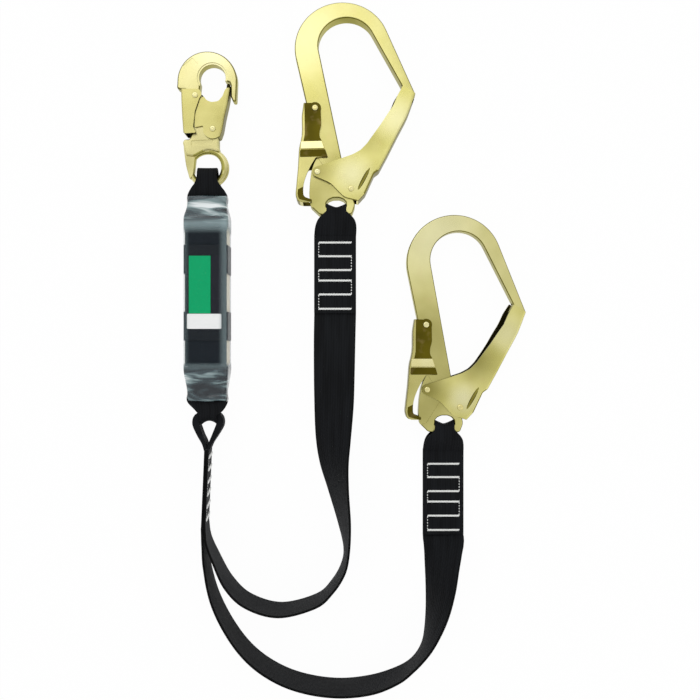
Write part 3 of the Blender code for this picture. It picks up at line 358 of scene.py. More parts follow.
def stitches(lines, up, pitch, length, thick, slant):
    # one flattened bead for each stitch along the lines; the sizes are in millimetres
    pitch, length, thick = pitch / 1000, length / 1000, thick / 1000
    form = bmesh.new()
    for start, end in lines:
        start, end = Vector(start), Vector(end)
        run = end - start
        along = run.normalized()
        along.rotate(Matrix.Rotation(slant, 3, up))
        turn = Matrix((along, up.cross(along), up)).transposed().to_4x4()
        size = Matrix.Diagonal((length / 2, thick / 2, thick / 2 * 0.8, 1))
        count = max(1, round(run.length / pitch))
        for i in range(count):
            centre = start + run * (i + 0.5) / count
            bmesh.ops.create_uvsphere(form, u_segments=8, v_segments=5, radius=1,
                                      matrix=Matrix.Translation(centre) @ turn @ size)
    return toMesh(form)


# Materials

def zincSteel(name, light, shade, rough, grain, relief, spots=()):
    # Steel with yellow chromate over zinc: a satin metal whose colour drifts from straw to
    # olive, with a faint pink where the film is thicker. A spot is x, y and reach in the
    # piece's own millimetres and how much painted highlight (pale) or painted shade (olive) it lays
    made, tree, shader = newMaterial(name, {"Metallic": 1.0})
    place = addNode(tree, "TexCoord", "Object")
    cloud, blotch, fine = [
        addNode(tree, "TexNoise", "Fac",
                {"Scale": perMetre(size), "Detail": detail, "Vector": place})
        for size, detail in ((38, 2.0), (9, 2.0), (grain, 4.0))]
    straw = addNode(tree, "ValToRGB", "Color", {
        "stops": [(0.32, shade), (0.66, light)], "Fac": cloud})
    blush = addNode(tree, "MapRange", "Result", {
        "From Min": 0.55, "From Max": 0.8, "To Min": 0.0, "To Max": 0.14, "Value": blotch})
    colour = addNode(tree, "Mix", 2, {
        "data_type": "RGBA", 0: blush, 6: straw, 7: linear("#E0BE8C")})
    if spots:
        uv = addNode(tree, "UVMap", "UV", {"uv_map": "own"})
    # the spots are painted light: pale straw for painted highlights, olive for painted shade
    for highlightOrShadeTint, sign in (("#FFFBD0", 1), ("#7E7630", -1)):
        total = 0.0
        for x, y, reach, amount in spots:
            if amount * sign < 0:
                continue
            away = addNode(tree, "VectorMath", "Value", {
                "operation": "DISTANCE", 0: uv, 1: (x / 1000, y / 1000, 0)})
            near = addNode(tree, "MapRange", "Result", {
                "From Min": 0.0, "From Max": reach / 1000, "To Min": abs(amount),
                "To Max": 0.0, "interpolation_type": "SMOOTHSTEP", "Value": away})
            total = addNode(tree, "Math", 0, {
                "operation": "ADD", "use_clamp": True, 0: total, 1: near})
        if spots:
            colour = addNode(tree, "Mix", 2, {
                "data_type": "RGBA", 0: total, 6: colour, 7: linear(highlightOrShadeTint)})
    satin = addNode(tree, "MapRange", "Result", {
        "From Min": 0.3, "From Max": 0.7, "To Min": rough - 0.04, "To Max": rough + 0.06,
        "Value": cloud})
    bump = addNode(tree, "Bump", "Normal", {
        "Strength": relief, "Distance": 0.0002, "Height": fine})
    setUp(tree, shader, {"Base Color": colour, "Roughness": satin, "Normal": bump})
    return made


# Roughness, grain in millimetres and relief: shot-blasted after forging, so the surface is
# slightly pebbled, or pressed from rolled sheet, which is smoother
forged = (0.30, 1.1, 0.20)
rolled = (0.27, 1.8, 0.10)
# each hook's spots are painted highlights (above 0) and painted shade (below 0), laid differently
# on each hook
hookSteels = {
    "hook_1": zincSteel("zincPlatedForgedSteel", "#E6DF96", "#CFC87A", *forged, [
        (-30, 196, 70, 0.30), (14, 226, 60, 0.06), (60, 170, 55, 0.06), (-14, 100, 66, -0.24),
        (-22, 22, 44, -0.42), (4, 46, 34, -0.34)]),
    "hook_2": zincSteel("zincPlatedForgedSteelDuller", "#E6DF96", "#CFC87A", *forged, [
        (-26, 200, 70, 0.42), (14, 226, 70, 0.36), (60, 170, 55, 0.20), (-14, 100, 70, -0.50),
        (-22, 22, 44, -0.46), (4, 46, 34, -0.40)]),
}
# the gates' spots are painted highlights and painted shade as well
gateSteels = {
    "hook_1": zincSteel("zincPlatedGateSheet", "#E8E192", "#D1CA76", *rolled, [
        (66, 100, 34, 0.50), (18, 40, 30, 0.55), (-20, 44, 30, -0.62), (36, 76, 24, -0.34)]),
    "hook_2": zincSteel("zincPlatedGateSheetDuller", "#E8E192", "#D1CA76", *rolled, [
        (66, 104, 30, 0.45), (20, 34, 24, 0.62), (-20, 44, 34, -0.80), (34, 74, 34, -0.66)]),
}
# the snap hook's spots are painted highlights and painted shade too
snapSteel = zincSteel("zincPlatedSnapForging", "#E6DEA0", "#D4CC88", *forged, [
    (6, 142, 44, 0.55), (-26, 112, 24, 0.12), (-6, 44, 26, -0.22), (22, 8, 20, -0.45),
    (-22, 24, 18, -0.30), (27, 96, 14, -0.15)])
pressedSteel = zincSteel("zincPlatedPressedSheet", "#D8D088", "#C0B86E", *rolled)
# Painted shade: the lever's recessed panel, its foot, its lower ridge and the inside of its channel
# are painted dark brown
panelSteel = zincSteel("heavyChromatePressedSheet", "#6A6018", "#4A4212", 0.38, 0.9, 0.15)
# Painted shade: walls of the forging, cut edges of the sheet and its pressed crease are
# painted olive, darker still on the rims
wallSteel = zincSteel("oliveChromateWall", "#B4AE5C", "#8C8634", 0.34, 0.9, 0.15)
rimSteel = zincSteel("oliveChromateRim", "#868030", "#66601C", 0.36, 0.9, 0.10)
creaseSteel = zincSteel("oliveChromateCrease", "#A09A4A", "#7C7430", 0.34, 1.6, 0.10)
# Painted shade: the inside of a channel is painted nearly black
insideSteel = zincSteel("bareChannelInside", "#2E2A10", "#1C1A0A", 0.5, 0.9, 0.10)
# Peened rivet heads, polished by the tool; the same pale steel is the painted highlight on the
# lever's upper ridge
rivetSteel = zincSteel("zincPlatedRivetSteel", "#F6F0B8", "#E6DB92", 0.20, 0.8, 0.10)


def wovenPolyester(name, light, dark, edge, relief=0.45):
    # Heavy needle-loomed polyester: fine ribs across, warp lines along, painted shade along both
    # edges.
    # The real ribs are 0.9 mm apart; they are drawn coarser so that they show
    ribs, warps = 1.7, 2.8
    made, tree, shader = newMaterial(name, {"Roughness": 0.7, "Specular IOR Level": 0.10,
                                            "Sheen Weight": 0.02, "Sheen Roughness": 0.4})
    uv = addNode(tree, "UVMap", "UV", {"uv_map": "webbing"})
    along, across = [addNode(tree, "SeparateXYZ", axis, {"Vector": uv}) for axis in "XY"]
    # twill: the ribs lean one way on one half of each warp stripe and back on the other
    lean = addNode(tree, "Math", 0, {"operation": "PINGPONG", 0: across, 1: warps / 1000})
    slanted = addNode(tree, "Math", 0, {"operation": "ADD", 0: along, 1: lean})
    waves = []
    for direction, spacing in ((slanted, ribs), (across, warps)):
        phase = addNode(tree, "Math", 0, {
            "operation": "MULTIPLY", 0: direction, 1: 2 * pi * perMetre(spacing)})
        waves.append(addNode(tree, "Math", 0, {"operation": "SINE", 0: phase}))
    weave = addNode(tree, "Math", 0, {
        "operation": "MULTIPLY_ADD", 0: waves[0], 1: 0.6, 2: waves[1]})
    stretched = addNode(tree, "VectorMath", 0, {"operation": "MULTIPLY", 0: uv, 1: (18, 160, 1)})
    streak = addNode(tree, "TexNoise", "Fac", {"Scale": 1.0, "Detail": 3.0, "Vector": stretched})
    tone = addNode(tree, "Math", 0, {
        "operation": "MULTIPLY_ADD", 0: weave, 1: 0.2 * relief, 2: streak})
    face = addNode(tree, "ValToRGB", "Color", {
        "stops": [(0.30, dark), (0.72, light)], "Fac": tone})
    fromMiddle = addNode(tree, "Math", 0, {"operation": "ABSOLUTE", 0: across})
    # painted shade: a darker band along both edges of the webbing
    edgeShade = addNode(tree, "MapRange", "Result", {
        "From Min": 0.0205, "From Max": 0.0222, "To Min": 0.0, "To Max": 0.85,
        "Value": fromMiddle})
    colour = addNode(tree, "Mix", 2, {"data_type": "RGBA", 0: edgeShade, 6: face, 7: linear(edge)})
    bump = addNode(tree, "Bump", "Normal", {
        "Strength": relief, "Distance": 0.00025, "Height": weave})
    setUp(tree, shader, {"Base Color": colour, "Normal": bump})
    return made


blackWebbing = wovenPolyester("wovenBlackPolyester", "#181A1D", "#0D0E10", "#030303")
# Under the film the same webbing is pressed smooth; its bluish tint is a painted reflection of the
# film's slate glare
foldWebbing = wovenPolyester("pressedBlackPolyester", "#1B2128", "#191E25", "#12161A", 0.04)
coreWebbing = wovenPolyester("wovenUndyedPolyester", "#FAF7EC", "#E6E1D0", "#EAE5D6")


def patterned(name, settings, kind, pattern, stops, relief=0.0, depth=0.0):
    # one pattern gives the colour and, where relief is given, the bumps
    made, tree, shader = newMaterial(name, settings)
    place = addNode(tree, "TexCoord", "Object")
    marks = addNode(tree, kind, "Fac", {**pattern, "Vector": place})
    colour = addNode(tree, "ValToRGB", "Color", {"stops": stops, "Fac": marks})
    setUp(tree, shader, {"Base Color": colour})
    if relief:
        bump = addNode(tree, "Bump", "Normal", {
            "Strength": relief, "Distance": depth, "Height": marks})
        setUp(tree, shader, {"Normal": bump})
    return made


def labelStock(name, light, dark, rough):
    # Coated label stock under the film: an even colour with a faint fibre mottle
    return patterned(name, {"Roughness": rough, "Specular IOR Level": 0.12}, "TexNoise",
                     {"Scale": perMetre(1.6), "Detail": 5.0}, [(0.35, dark), (0.65, light)],
                     0.08, 0.0001)


greenStock = labelStock("greenLabelStock", "#00B070", "#00A668", 0.42)
charcoalStock = labelStock("charcoalLabelStock", "#26262E", "#1A1C25", 0.42)
whiteStock = labelStock("whiteLabelStock", "#FFFFFF", "#F8FAF9", 0.5)
darkBand = labelStock("matBlackVinylBand", "#1F242A", "#171B20", 0.34)
# Drawn spring steel: bare, with fine lines along the wire
springSteel = patterned(
    "drawnSpringSteel", {"Metallic": 1.0, "Roughness": 0.28}, "TexNoise",
    {"Scale": perMetre(0.6), "Detail": 2.0}, [(0.3, "#8E8F92"), (0.7, "#C6C7CA")])
# Bonded polyester sewing thread: white, with painted shade in the hollows of its twist
whiteThread = patterned(
    "bondedPolyesterThread", {"Roughness": 0.55, "Sheen Weight": 0.3}, "TexWave",
    {"Scale": perMetre(3.0), "Distortion": 1.5, "bands_direction": "DIAGONAL"},
    [(0.0, "#E4E6E4"), (0.6, "#FAFBF8")], 0.3, 0.0002)

filmLook = {
    "middle": -0.0276, "tight": 0.0735, "loose": 0.083,
    "clear": 0.006, "milky": (0.82, 0.95), "edge": 0.06,
    # each glare's axis, where it starts and is full, and how much of the label it hides; the
    # last one ends the second
    "glares": (("Y", 0.036, 0.051, 0.80), ("X", -0.1430, -0.1345, 0.27),
               ("X", -0.1730, -0.1780, 0.10), ("X", -0.1338, -0.1328, -0.27)),
}


def clearFilm():
    # Thin clear PVC tube, shrunk on: nearly invisible where it lies flat on the labels, with a
    # slate glare painted on its shoulder, and painted highlights and shade in its creases where it
    # is gathered
    made, tree, shader = newMaterial("clearShrinkTube", {
        "Roughness": 0.16, "IOR": 1.54, "Coat Weight": 0.6, "Coat Roughness": 0.06})
    place = addNode(tree, "TexCoord", "Object")
    axes = {axis: addNode(tree, "SeparateXYZ", axis, {"Vector": place}) for axis in "XY"}
    smooth = {"interpolation_type": "SMOOTHSTEP"}
    away = addNode(tree, "Math", 0, {
        "operation": "SUBTRACT", 0: axes["Y"], 1: filmLook["middle"]})
    away = addNode(tree, "Math", 0, {"operation": "ABSOLUTE", 0: away})
    gathered = addNode(tree, "MapRange", "Result", {
        **smooth, "From Min": filmLook["tight"], "From Max": filmLook["loose"], "Value": away})
    stretched = addNode(tree, "Mapping", "Vector", {"Scale": (13, 85, 30), "Vector": place})
    crease = addNode(tree, "TexNoise", "Fac", {
        "Scale": 1.0, "Detail": 3.0, "Roughness": 0.55, "Distortion": 0.9, "Vector": stretched})
    milky = addNode(tree, "MapRange", "Result", {
        **smooth, "From Min": 0.42, "From Max": 0.66, "To Min": filmLook["milky"][0],
        "To Max": filmLook["milky"][1], "Value": crease})
    glare = 0.0
    for axis, start, full, amount in filmLook["glares"]:
        more = addNode(tree, "MapRange", "Result", {
            **smooth, "From Min": start, "From Max": full, "To Max": amount,
            "Value": axes[axis]})
        glare = addNode(tree, "Math", 0, {
            "operation": "ADD", "use_clamp": True, 0: glare, 1: more})
    flatPart = addNode(tree, "Math", 0, {
        "operation": "ADD", "use_clamp": True, 0: glare, 1: filmLook["clear"]})
    paintedGlareAndCreaseCover = addNode(tree, "Mix", 0, {0: gathered, 2: flatPart, 3: milky})
    facing = addNode(tree, "LayerWeight", "Facing", {"Blend": 0.3})
    alpha = addNode(tree, "Math", 0, {
        "operation": "MULTIPLY_ADD", "use_clamp": True, 0: facing, 1: filmLook["edge"],
        2: paintedGlareAndCreaseCover})
    # painted highlights and shade of the creases: dark slate in their hollows, near white on their
    # ridges
    folds = addNode(tree, "ValToRGB", "Color", {
        "stops": [(0.38, "#18222A"), (0.48, "#3E5056"), (0.57, "#8CA2A4"), (0.66, "#EEF4F5")],
        "Fac": crease})
    colour = addNode(tree, "Mix", 2, {
        "data_type": "RGBA", 0: gathered, 6: linear("#8CA2A6"), 7: folds})
    bump = addNode(tree, "Bump", "Normal", {
        "Strength": 0.6, "Distance": 0.0012, "Height": crease})
    setUp(tree, shader, {"Alpha": alpha, "Base Color": colour, "Normal": bump})
    return made


film = clearFilm()
print("materials made")


# Webbing, all drawn as a strip along a line of stations

def addWebbing(node, mesh, body, look=blackWebbing, ending="_webbing"):
    return addObject(node + ending, mesh, body, node, [look], 50, False)


# Legs, the cords of this object: x, y, height of the middle and lean from upright in degrees
legs = {
    "width": 45, "thick": 2.2, "step": 4, "cup": 2.2, "tuck": 1.2, "tuckThick": 0.9,
    # the webbing hangs a little to the right of its line where it leaves the sewn join
    "drift": 1.5, "driftStart": -275.8, "driftEnd": -335, "joinSide": -100,
    "leg_1": [(-157.7, -275.8, 22.5, -6), (-155.3, -292.3, 22.5, -5), (-147.7, -310.5, 22.5, -3),
              (-132.3, -339.4, 22.5, 0), (-111.1, -359.3, 22.5, 0), (-76.4, -369.1, 22.5, 0),
              (-37.2, -359.3, 22.5, 0), (-19.7, -343.7, 22.5, 1), (-8.5, -325.1, 22.5, 3),
              (-5.0, -306.3, 22.8, 6), (-7.7, -275.1, 23.8, 18), (-14.2, -237.5, 25.2, 31),
              (-18.3, -210.3, 26.4, 44), (-19.2, -184.3, 27.2, 57), (-18.3, -144.9, 27.3, 72),
              (-18.0, -111.3, 27.1, 79), (-17.6, -77.3, 26.7, 85), (-17.0, -48.7, 25.55, 90)],
    "leg_2": [(-160.4, -275.8, 22.5, -6), (-159.2, -296.3, 22.5, -6), (-156.2, -319.3, 22.5, -4),
              (-146.5, -357.3, 22.5, -1), (-128.0, -392.8, 22.5, 0), (-105.3, -419.9, 22.5, 0),
              (-76.8, -438.9, 22.5, 0), (-45.6, -449.5, 22.5, 0), (-11.0, -453.5, 22.5, 0),
              (23.0, -449.7, 22.5, 0), (50.3, -439.8, 22.5, -3), (66.2, -429.0, 22.5, -6),
              (77.9, -415.0, 22.5, -2), (86.0, -397.3, 22.4, 9), (93.2, -371.3, 21.2, 25),
              (97.2, -346.3, 18.5, 38), (99.2, -323.3, 15.2, 49), (100.8, -307.3, 12.2, 60),
              (102.0, -299.2, 8.2, 72), (102.1, -292.3, 1.5, 90)],
}


def addLeg(name, seed):
    rows = smoothPath([(x / 1000, y / 1000, z / 1000, lean) for x, y, z, lean in legs[name]],
                      legs["step"] / 1000)
    points = [Vector(row[:3]) for row in rows]
    width, thick = legs["width"] / 1000, legs["thick"] / 1000
    stations = []
    for i, point in enumerate(points):
        along = points[min(i + 1, len(points) - 1)] - points[max(i - 1, 0)]
        across = Vector((0, 0, 1)) - along * (along.z / along.length_squared)
        across.rotate(Matrix.Rotation(radians(rows[i][3]), 3, along))
        gone = (legs["driftStart"] - point.y * 1000) / (legs["driftStart"] - legs["driftEnd"])
        near = min(1.0, max(0.0, 1 - gone)) * (point.x * 1000 < legs["joinSide"])
        stations.append((point + Vector((near * legs["drift"] / 1000, 0, 0)), across, width,
                         thick))
    # the last few threads run on under the tab
    last, across = stations[-1][:2]
    onward = (last - stations[-2][0]).normalized() * legs["tuck"] / 1000
    stations.append((last + onward, across, width, thick * legs["tuckThick"]))
    made = addWebbing(name, webStrip(stations, legs["cup"] / 1000, seed=seed), "twin_legs")
    length = sum((b - a).length for a, b in zip(points, points[1:]))
    return length


for name, seed in (("leg_1", 1.7), ("leg_2", 5.2)):
    print(name, "is", round(addLeg(name, seed), 3), "m long")


# Rivets, the same in all three hooks

rivet = {
    "head": 3.3, "rise": 1.1, "shank": 2.5, "gap": 0.3,
    # the peened head's outline, as shares of its radius and rise: a dimple, then a dome
    "dome": ((0, 0.62), (0.26, 0.66), (0.40, 0.98), (0.60, 1), (0.82, 0.78), (0.96, 0.36),
             (1, 0)),
}


def rivetHead(top):
    return [(rivet["head"] * out, top + rivet["rise"] * up) for out, up in rivet["dome"]]


def peenedRivet(half):
    # shank with a head at each end
    top = half + rivet["gap"]
    side = [*rivetHead(top), (rivet["shank"], top)]
    return turned([*side, *[(r, -z) for r, z in side[::-1]]])


def peenedStud(low, high):
    # shank with a head at its outer end only
    top = high + rivet["gap"]
    return turned([*rivetHead(top), (rivet["shank"], top), (rivet["shank"], low), (0, low)])


def rivetCuts(sizes, places):
    # each rivet's hole through the forging, and the pocket behind for its spring
    half = sizes["half"]
    cuts = []
    for place in places:
        cuts.append(pin(sizes["rivetHole"], -half - 4, half + 4, place))
        cuts.append(pin(sizes["pocket"], -half - 4, sizes["pocketDepth"] - half, place))
    return cuts


# Scaffold hooks, drawn in millimetres about the webbing's bar with the crown towards +Y

scaffold = {
    "half": 6.5, "rim": 1.5, "gatePivot": (16.4, 23.5), "leverPivot": (-20.3, 113.4),
    "tailStud": (-19.3, 42.8), "rivetHole": 2.8, "pocket": 5.95, "pocketDepth": 5.6,
    "cheekIn": 6.9, "sheet": 1.8, "fold": 2.2,
    # how far the nose's face is from the gate's pivot, and the gate's room round it
    "nose": 117.3, "noseGap": 0.5, "noseRoom": 13.5,
    # the gate's pressed crease: place and half sizes, and how steeply it lies
    "crease": (30.2, 33.6, 9.7), "creaseSize": (15.0, 2.2, 2.4), "creaseSlope": 1.8,
    "panelDepth": 0.35,
}
hookFrames = {
    "hook_1": (Matrix.Translation((-0.0156, 0.0594, 0.0268)) @ Matrix.Rotation(radians(1.4), 4, "Z")
               @ Matrix.Rotation(radians(-5), 4, "X")),
    "hook_2": Matrix.Translation((0.1021, -0.1742, 0.0101)),
}


def lookWhere(mesh, index, test):
    # gives the faces that pass the test, on their middle and normal in millimetres, a slot
    for face in mesh.polygons:
        if test(face.center * 1000, face.normal):
            face.material_index = index
    return mesh


def ownCoordinates(mesh):
    # keeps each point's place in the piece's own frame, for the painted highlight and shade spots
    layer = mesh.uv_layers.new(name="own")
    for loop in mesh.loops:
        layer.data[loop.index].uv = mesh.vertices[loop.vertex_index].co.xy
    return mesh


def forgingLooks(mesh, half, rim, lowest=-100):
    # painted shade on the walls and the rounding beside them; the slots are face, wall and rim
    lookWhere(mesh, 1, lambda c, n: abs(n.z) < 0.3)
    return lookWhere(mesh, 2, lambda c, n: 0.3 <= abs(n.z) < 0.9 and c.y > lowest
                     and half - rim - 0.05 < abs(c.z) < half)


def channelLooks(mesh, inside, half, inward, edge, dark):
    # painted shade on the cut edges and the inside of a pressed channel; inward points from its web
    # to its mouth
    def depth(n):
        return n.x * inward[0] + n.y * inward[1]
    lookWhere(mesh, edge, lambda c, n: abs(n.z) < 0.3 and depth(n) > -0.3
              and inside + 0.1 < abs(c.z) < half - 0.05)
    lookWhere(mesh, edge, lambda c, n: abs(n.z) < 0.6 and depth(n) < -0.3)
    lookWhere(mesh, dark, lambda c, n: abs(abs(c.z) - inside) < 0.06 and abs(n.z) > 0.9)
    return lookWhere(mesh, dark, lambda c, n: abs(c.z) < inside - 0.1 and depth(n) > 0.3)


def scaffoldBody():
    pivot = scaffold["gatePivot"]
    half = scaffold["half"]
    nose = arc(pivot, scaffold["nose"], 62.4, 55.8, 4)
    outline = rounded([
        (-18.0, 62.0, 14), (-23.2, 52.0, 8), (-25.8, 44.0, 12), (-27.6, 32, 20), (-28.5, 20, 14),
        (-28.2, 12, 9), (-27.2, 5.8, 5), (-18.3, -3.0, 6), (-13.7, -4, 4), (13.7, -4, 4),
        (16.9, -3.0, 5), (20.3, 6.0, 9), (18.9, 12.3, 6), *arc(pivot, 10.5, -62, 78, 10),
        (11.1, 51, 8), (7.1, 57.0, 4), *arc((15.5, 184.2), 31, 190.3, 26.8, 36),
        (74.9, 135.5, 0), *nose, (88.4, 127.3, 0), *arc((10.8, 181.2), 52, 21.8, 191.5, 44),
    ])
    eye = rounded([(-10.7, 4, 1.5), (10.7, 4, 1.5), (10.7, 9.3, 3), (7.7, 12.7, 3),
                   (3.2, 14.5, 5), (-3.2, 14.5, 5), (-7.7, 12.7, 3), (-10.7, 9.3, 3)])
    slab = plate([outline, eye], -half, half, scaffold["rim"], 4)
    # the lobe left of the line from the gate's tail to the eye is milled a little lower
    lobe = plate([rounded([(-2.6, 34.2, 2), (-19.6, 6.9, 2), (-45, -4, 0), (-45, 60, 0),
                           (-19, 60, 0)])], half - 0.8, half + 3, 0.25, 2)
    cuts = [lobe, *rivetCuts(scaffold, (pivot, scaffold["leverPivot"]))]
    return forgingLooks(combine(slab, cuts), half, scaffold["rim"])


def scaffoldGate():
    pivot, inside = scaffold["gatePivot"], scaffold["cheekIn"]
    outside = inside + scaffold["sheet"]
    web = [(23.6, 9.8, 5), (31.3, 17.9, 6), (41.5, 39.5, 4), (46.7, 43.1, 5), (56.9, 61.5, 60),
           (67.9, 82.5, 90), (79.7, 104.0, 90), (88.4, 127.3, 0.8)]
    front = [(74.9, 135.5), (68.6, 124.3), (64.0, 113.8), (56.8, 103.5), (49.4, 92.5),
             (41.9, 82.5)]
    # the back cheek reaches further in than the front one, most of all near the nose
    reach = [2.0, 2.9, 2.8, 2.2, 1.2, 0.3]
    back = [(x - 0.86 * r, y + 0.5 * r) for (x, y), r in zip(front, reach)]
    rounding = [0.8, 30, 60, 80, 80, 80]
    rim = [(84.0, 130.2, 0), (79.5, 132.9, 0), *[(*p, r) for p, r in zip(back, rounding)],
           (34.3, 72.1, 30), (27.6, 65.5, 12), (19.4, 61.0, 20), (5.9, 56.5, 60),
           (-22.1, 47.6, 5.5), (-24.0, 45.7, 3), (-24.8, 43.1, 3), (-24.2, 40.4, 3),
           (-22.5, 38.3, 3), (-5.5, 30.3, 20), (8.5, 14.9, 12)]
    tipX, tipY, _ = web[-1]
    tip = degrees(atan2(tipY - pivot[1], tipX - pivot[0]))
    face = scaffold["nose"] - scaffold["noseGap"]
    mouth = [*arc(pivot, face, tip - 9, tip + 16, 8),
             *arc(pivot, face + scaffold["noseRoom"], tip + 16, tip - 9, 8)]
    trim = plate([[*front, (34.3, 72.1), (28.0, 74.0), (60.0, 142.0)]], 0, inside + 6)
    cuts = [plate([[point[:2] for point in mouth]], -inside, inside), trim]
    for place in (pivot, scaffold["tailStud"]):
        cuts.append(pin(scaffold["rivetHole"], -inside - 4, inside + 4, place))
    # a coined crease beside the web, where the sheet is drawn in to stiffen it
    form = bmesh.new()
    bmesh.ops.create_uvsphere(form, u_segments=24, v_segments=16, radius=1)
    crease = toMesh(form)
    x, y, z = scaffold["crease"]
    size = Matrix.Diagonal([*[each / 1000 for each in scaffold["creaseSize"]], 1])
    lean = Matrix.Rotation(atan2(scaffold["creaseSlope"], 1), 4, "Z")
    for side in (1, -1):
        spot = Matrix.Translation((x / 1000, y / 1000, side * z / 1000))
        cuts.append(moved(crease, spot @ lean @ size))
    shell = pressedChannel(web, rim, inside, scaffold["sheet"], scaffold["fold"], cuts)
    channelLooks(shell, inside, outside, (-0.86, 0.5), 1, 2)
    # painted shade: the crease's faces are painted olive
    near = scaffold["creaseSize"][0] + 1
    return lookWhere(shell, 3, lambda c, n: (c.xy - Vector((x, y))).length < near
                     and inside + 0.15 < abs(c.z) < outside - 0.12 and abs(n.z) > 0.25)


def scaffoldLever():
    inside, pivot = scaffold["cheekIn"], scaffold["leverPivot"]
    half = inside + scaffold["sheet"]
    back = [(-32.7, 119.4, 1.6), (-34.9, 105.4, 30), (-34.9, 83.4, 60), (-38.5, 70, 40),
            (-40, 48, 120), (-42.5, 25, 120), (-43.2, 17.9, 12), (-41.2, 11.4, 5),
            (-36, 9.9, 1.5)]
    rim = [(-26.2, 9.9, 0.6), (-25.7, 12.5, 0.6), (-34.5, 15.9, 5), (-35.0, 25, 60),
           (-33.2, 34, 40), (-30, 42, 40), (-26, 50, 40), (-20.5, 58.6, 2), (-7.2, 59.4, 1.2),
           (-9.8, 64.9, 8), (-12, 73.9, 16), (-16.3, 81.4, 8), (-16, 87.9, 20),
           (-14, 94.9, 14), *arc(pivot, 6.4, -20, 120, 12)]
    under = plate([[(-35.5, 5.9), (0, 5.9), (0, 21.9), (-35.5, 21.9)]], -inside, inside)
    # the back cheek is cut away further, so that daylight shows beside the lobe
    window = plate([rounded([(-38.4, 17.5, 2), (-38.4, 25, 40), (-36.6, 34, 40), (-33.4, 42, 40),
                             (-29.5, 50, 3), (-18, 50, 0), (-18, 17.5, 0)])], -half - 3, 0)
    cuts = [under, window, pin(scaffold["rivetHole"], -half - 4, half + 4, pivot)]
    # the panel is recessed in both cheeks
    panel = [(-31.6, 125), (-31.7, 105), (-31.9, 84), (-33.4, 76.6), (0, 76.6), (0, 125)]
    depth = scaffold["panelDepth"]
    for low, high in ((half - depth, half + 3), (-half - 3, depth - half)):
        cuts.append(plate([panel], low, high))
    shell = pressedChannel(back, rim, inside, scaffold["sheet"], scaffold["fold"], cuts)
    # painted shade: the foot's face is painted as brown as the panel, from a clean line across
    form = bmesh.new()
    form.from_mesh(shell)
    bmesh.ops.bisect_plane(form, geom=form.verts[:] + form.edges[:] + form.faces[:],
                           plane_co=(0, 0.044, 0), plane_no=(0.5, -1, 0))
    form.to_mesh(shell)
    form.free()
    channelLooks(shell, inside, half, (1, 0), 3, 1)
    # painted shade: the recessed panel's floor and the foot's face are painted dark brown
    lookWhere(shell, 1, lambda c, n: abs(abs(c.z) - half + depth) < 0.05 and c.y > 76)
    lookWhere(shell, 1, lambda c, n: abs(c.z) > half - 0.05 and c.y - 44 < c.x * 0.5
              and n.z ** 2 > 0.95)
    # two thumb ridges pressed out across each cheek; the upper one is painted pale as a painted
    # highlight, the lower one brown as painted shade
    upper = rounded([(-36.2, 76.4, 1), (-37.0, 67.6, 1), (-10.6, 67.6, 1), (-13.6, 76.4, 1)])
    lower = rounded([(-37.2, 66.8, 1), (-37.6, 58.8, 1), (-7.6, 58.8, 1), (-10.4, 66.8, 1)])
    ridges = []
    for outline, top, lean, look in ((upper, 1.5, 0.10, 2), (lower, 0.7, -0.16, 1)):
        ridge = plate([outline], half - 1.2, half + top, 0.7, 3)
        lookWhere(ridge, look, lambda c, n: True)
        middle = sum(y for _, y in outline) / len(outline) / 1000
        tilt = Matrix.Identity(4)
        tilt[2][1] = -lean
        tilt[2][3] = lean * middle
        ridges.append(moved(ridge, tilt))
    return together(shell, *ridges, *[mirrored(ridge) for ridge in ridges])


bodyMesh, gateMesh = ownCoordinates(scaffoldBody()), ownCoordinates(scaffoldGate())
leverMesh = scaffoldLever()
outerHalf = scaffold["cheekIn"] + scaffold["sheet"]
rivetMesh, studMesh = peenedRivet(outerHalf), peenedStud(scaffold["cheekIn"], outerHalf)
for hook, spot in hookFrames.items():
    addObject(hook + "_forging", moved(bodyMesh, spot), hook, hook + "_body",
              [hookSteels[hook], wallSteel, rimSteel])
    addObject(hook + "_pressed_gate", moved(gateMesh, spot), hook + "_gate", hook + "_gate",
              [gateSteels[hook], rimSteel, insideSteel, creaseSteel])
    addObject(hook + "_pressed_lever", moved(leverMesh, spot), hook + "_lock",
              hook + "_lock_lever",
              [pressedSteel, panelSteel, rivetSteel, rimSteel])
    for name, where in (("gate", scaffold["gatePivot"]), ("lock", scaffold["leverPivot"])):
        addObject(f"{hook}_{name}_pin", moved(atSpot(rivetMesh, where), spot), hook,
                  f"{hook}_{name}_rivet", [rivetSteel])
    for name, flip in (("front", 0), ("back", pi)):
        stud = atSpot(moved(studMesh, Matrix.Rotation(flip, 4, "X")), scaffold["tailStud"])
        addObject(f"{hook}_{name}_stud", moved(stud, spot), hook + "_gate",
                  f"{hook}_catch_stud_{name}", [rivetSteel])
print("scaffold hooks made")


# Snap hook, about the middle of its webbing ring's bar

snap = {
    "half": 6.0, "rim": 1.8, "gatePivot": (6.2, 59.4), "leverPivot": (-12.5, 95.1),
    "rivetHole": 2.8, "pocket": 5.95, "pocketDepth": 5.6, "gateIn": 6.4, "leverIn": 8.4,
    "sheet": 1.6, "fold": 2.0, "ring": 18.0, "ringBar": 4.0, "hole": (5.4, 115.4, 14.3),
}
snapFrame = Matrix.Translation((-0.1563, 0.0927, 0.0114))


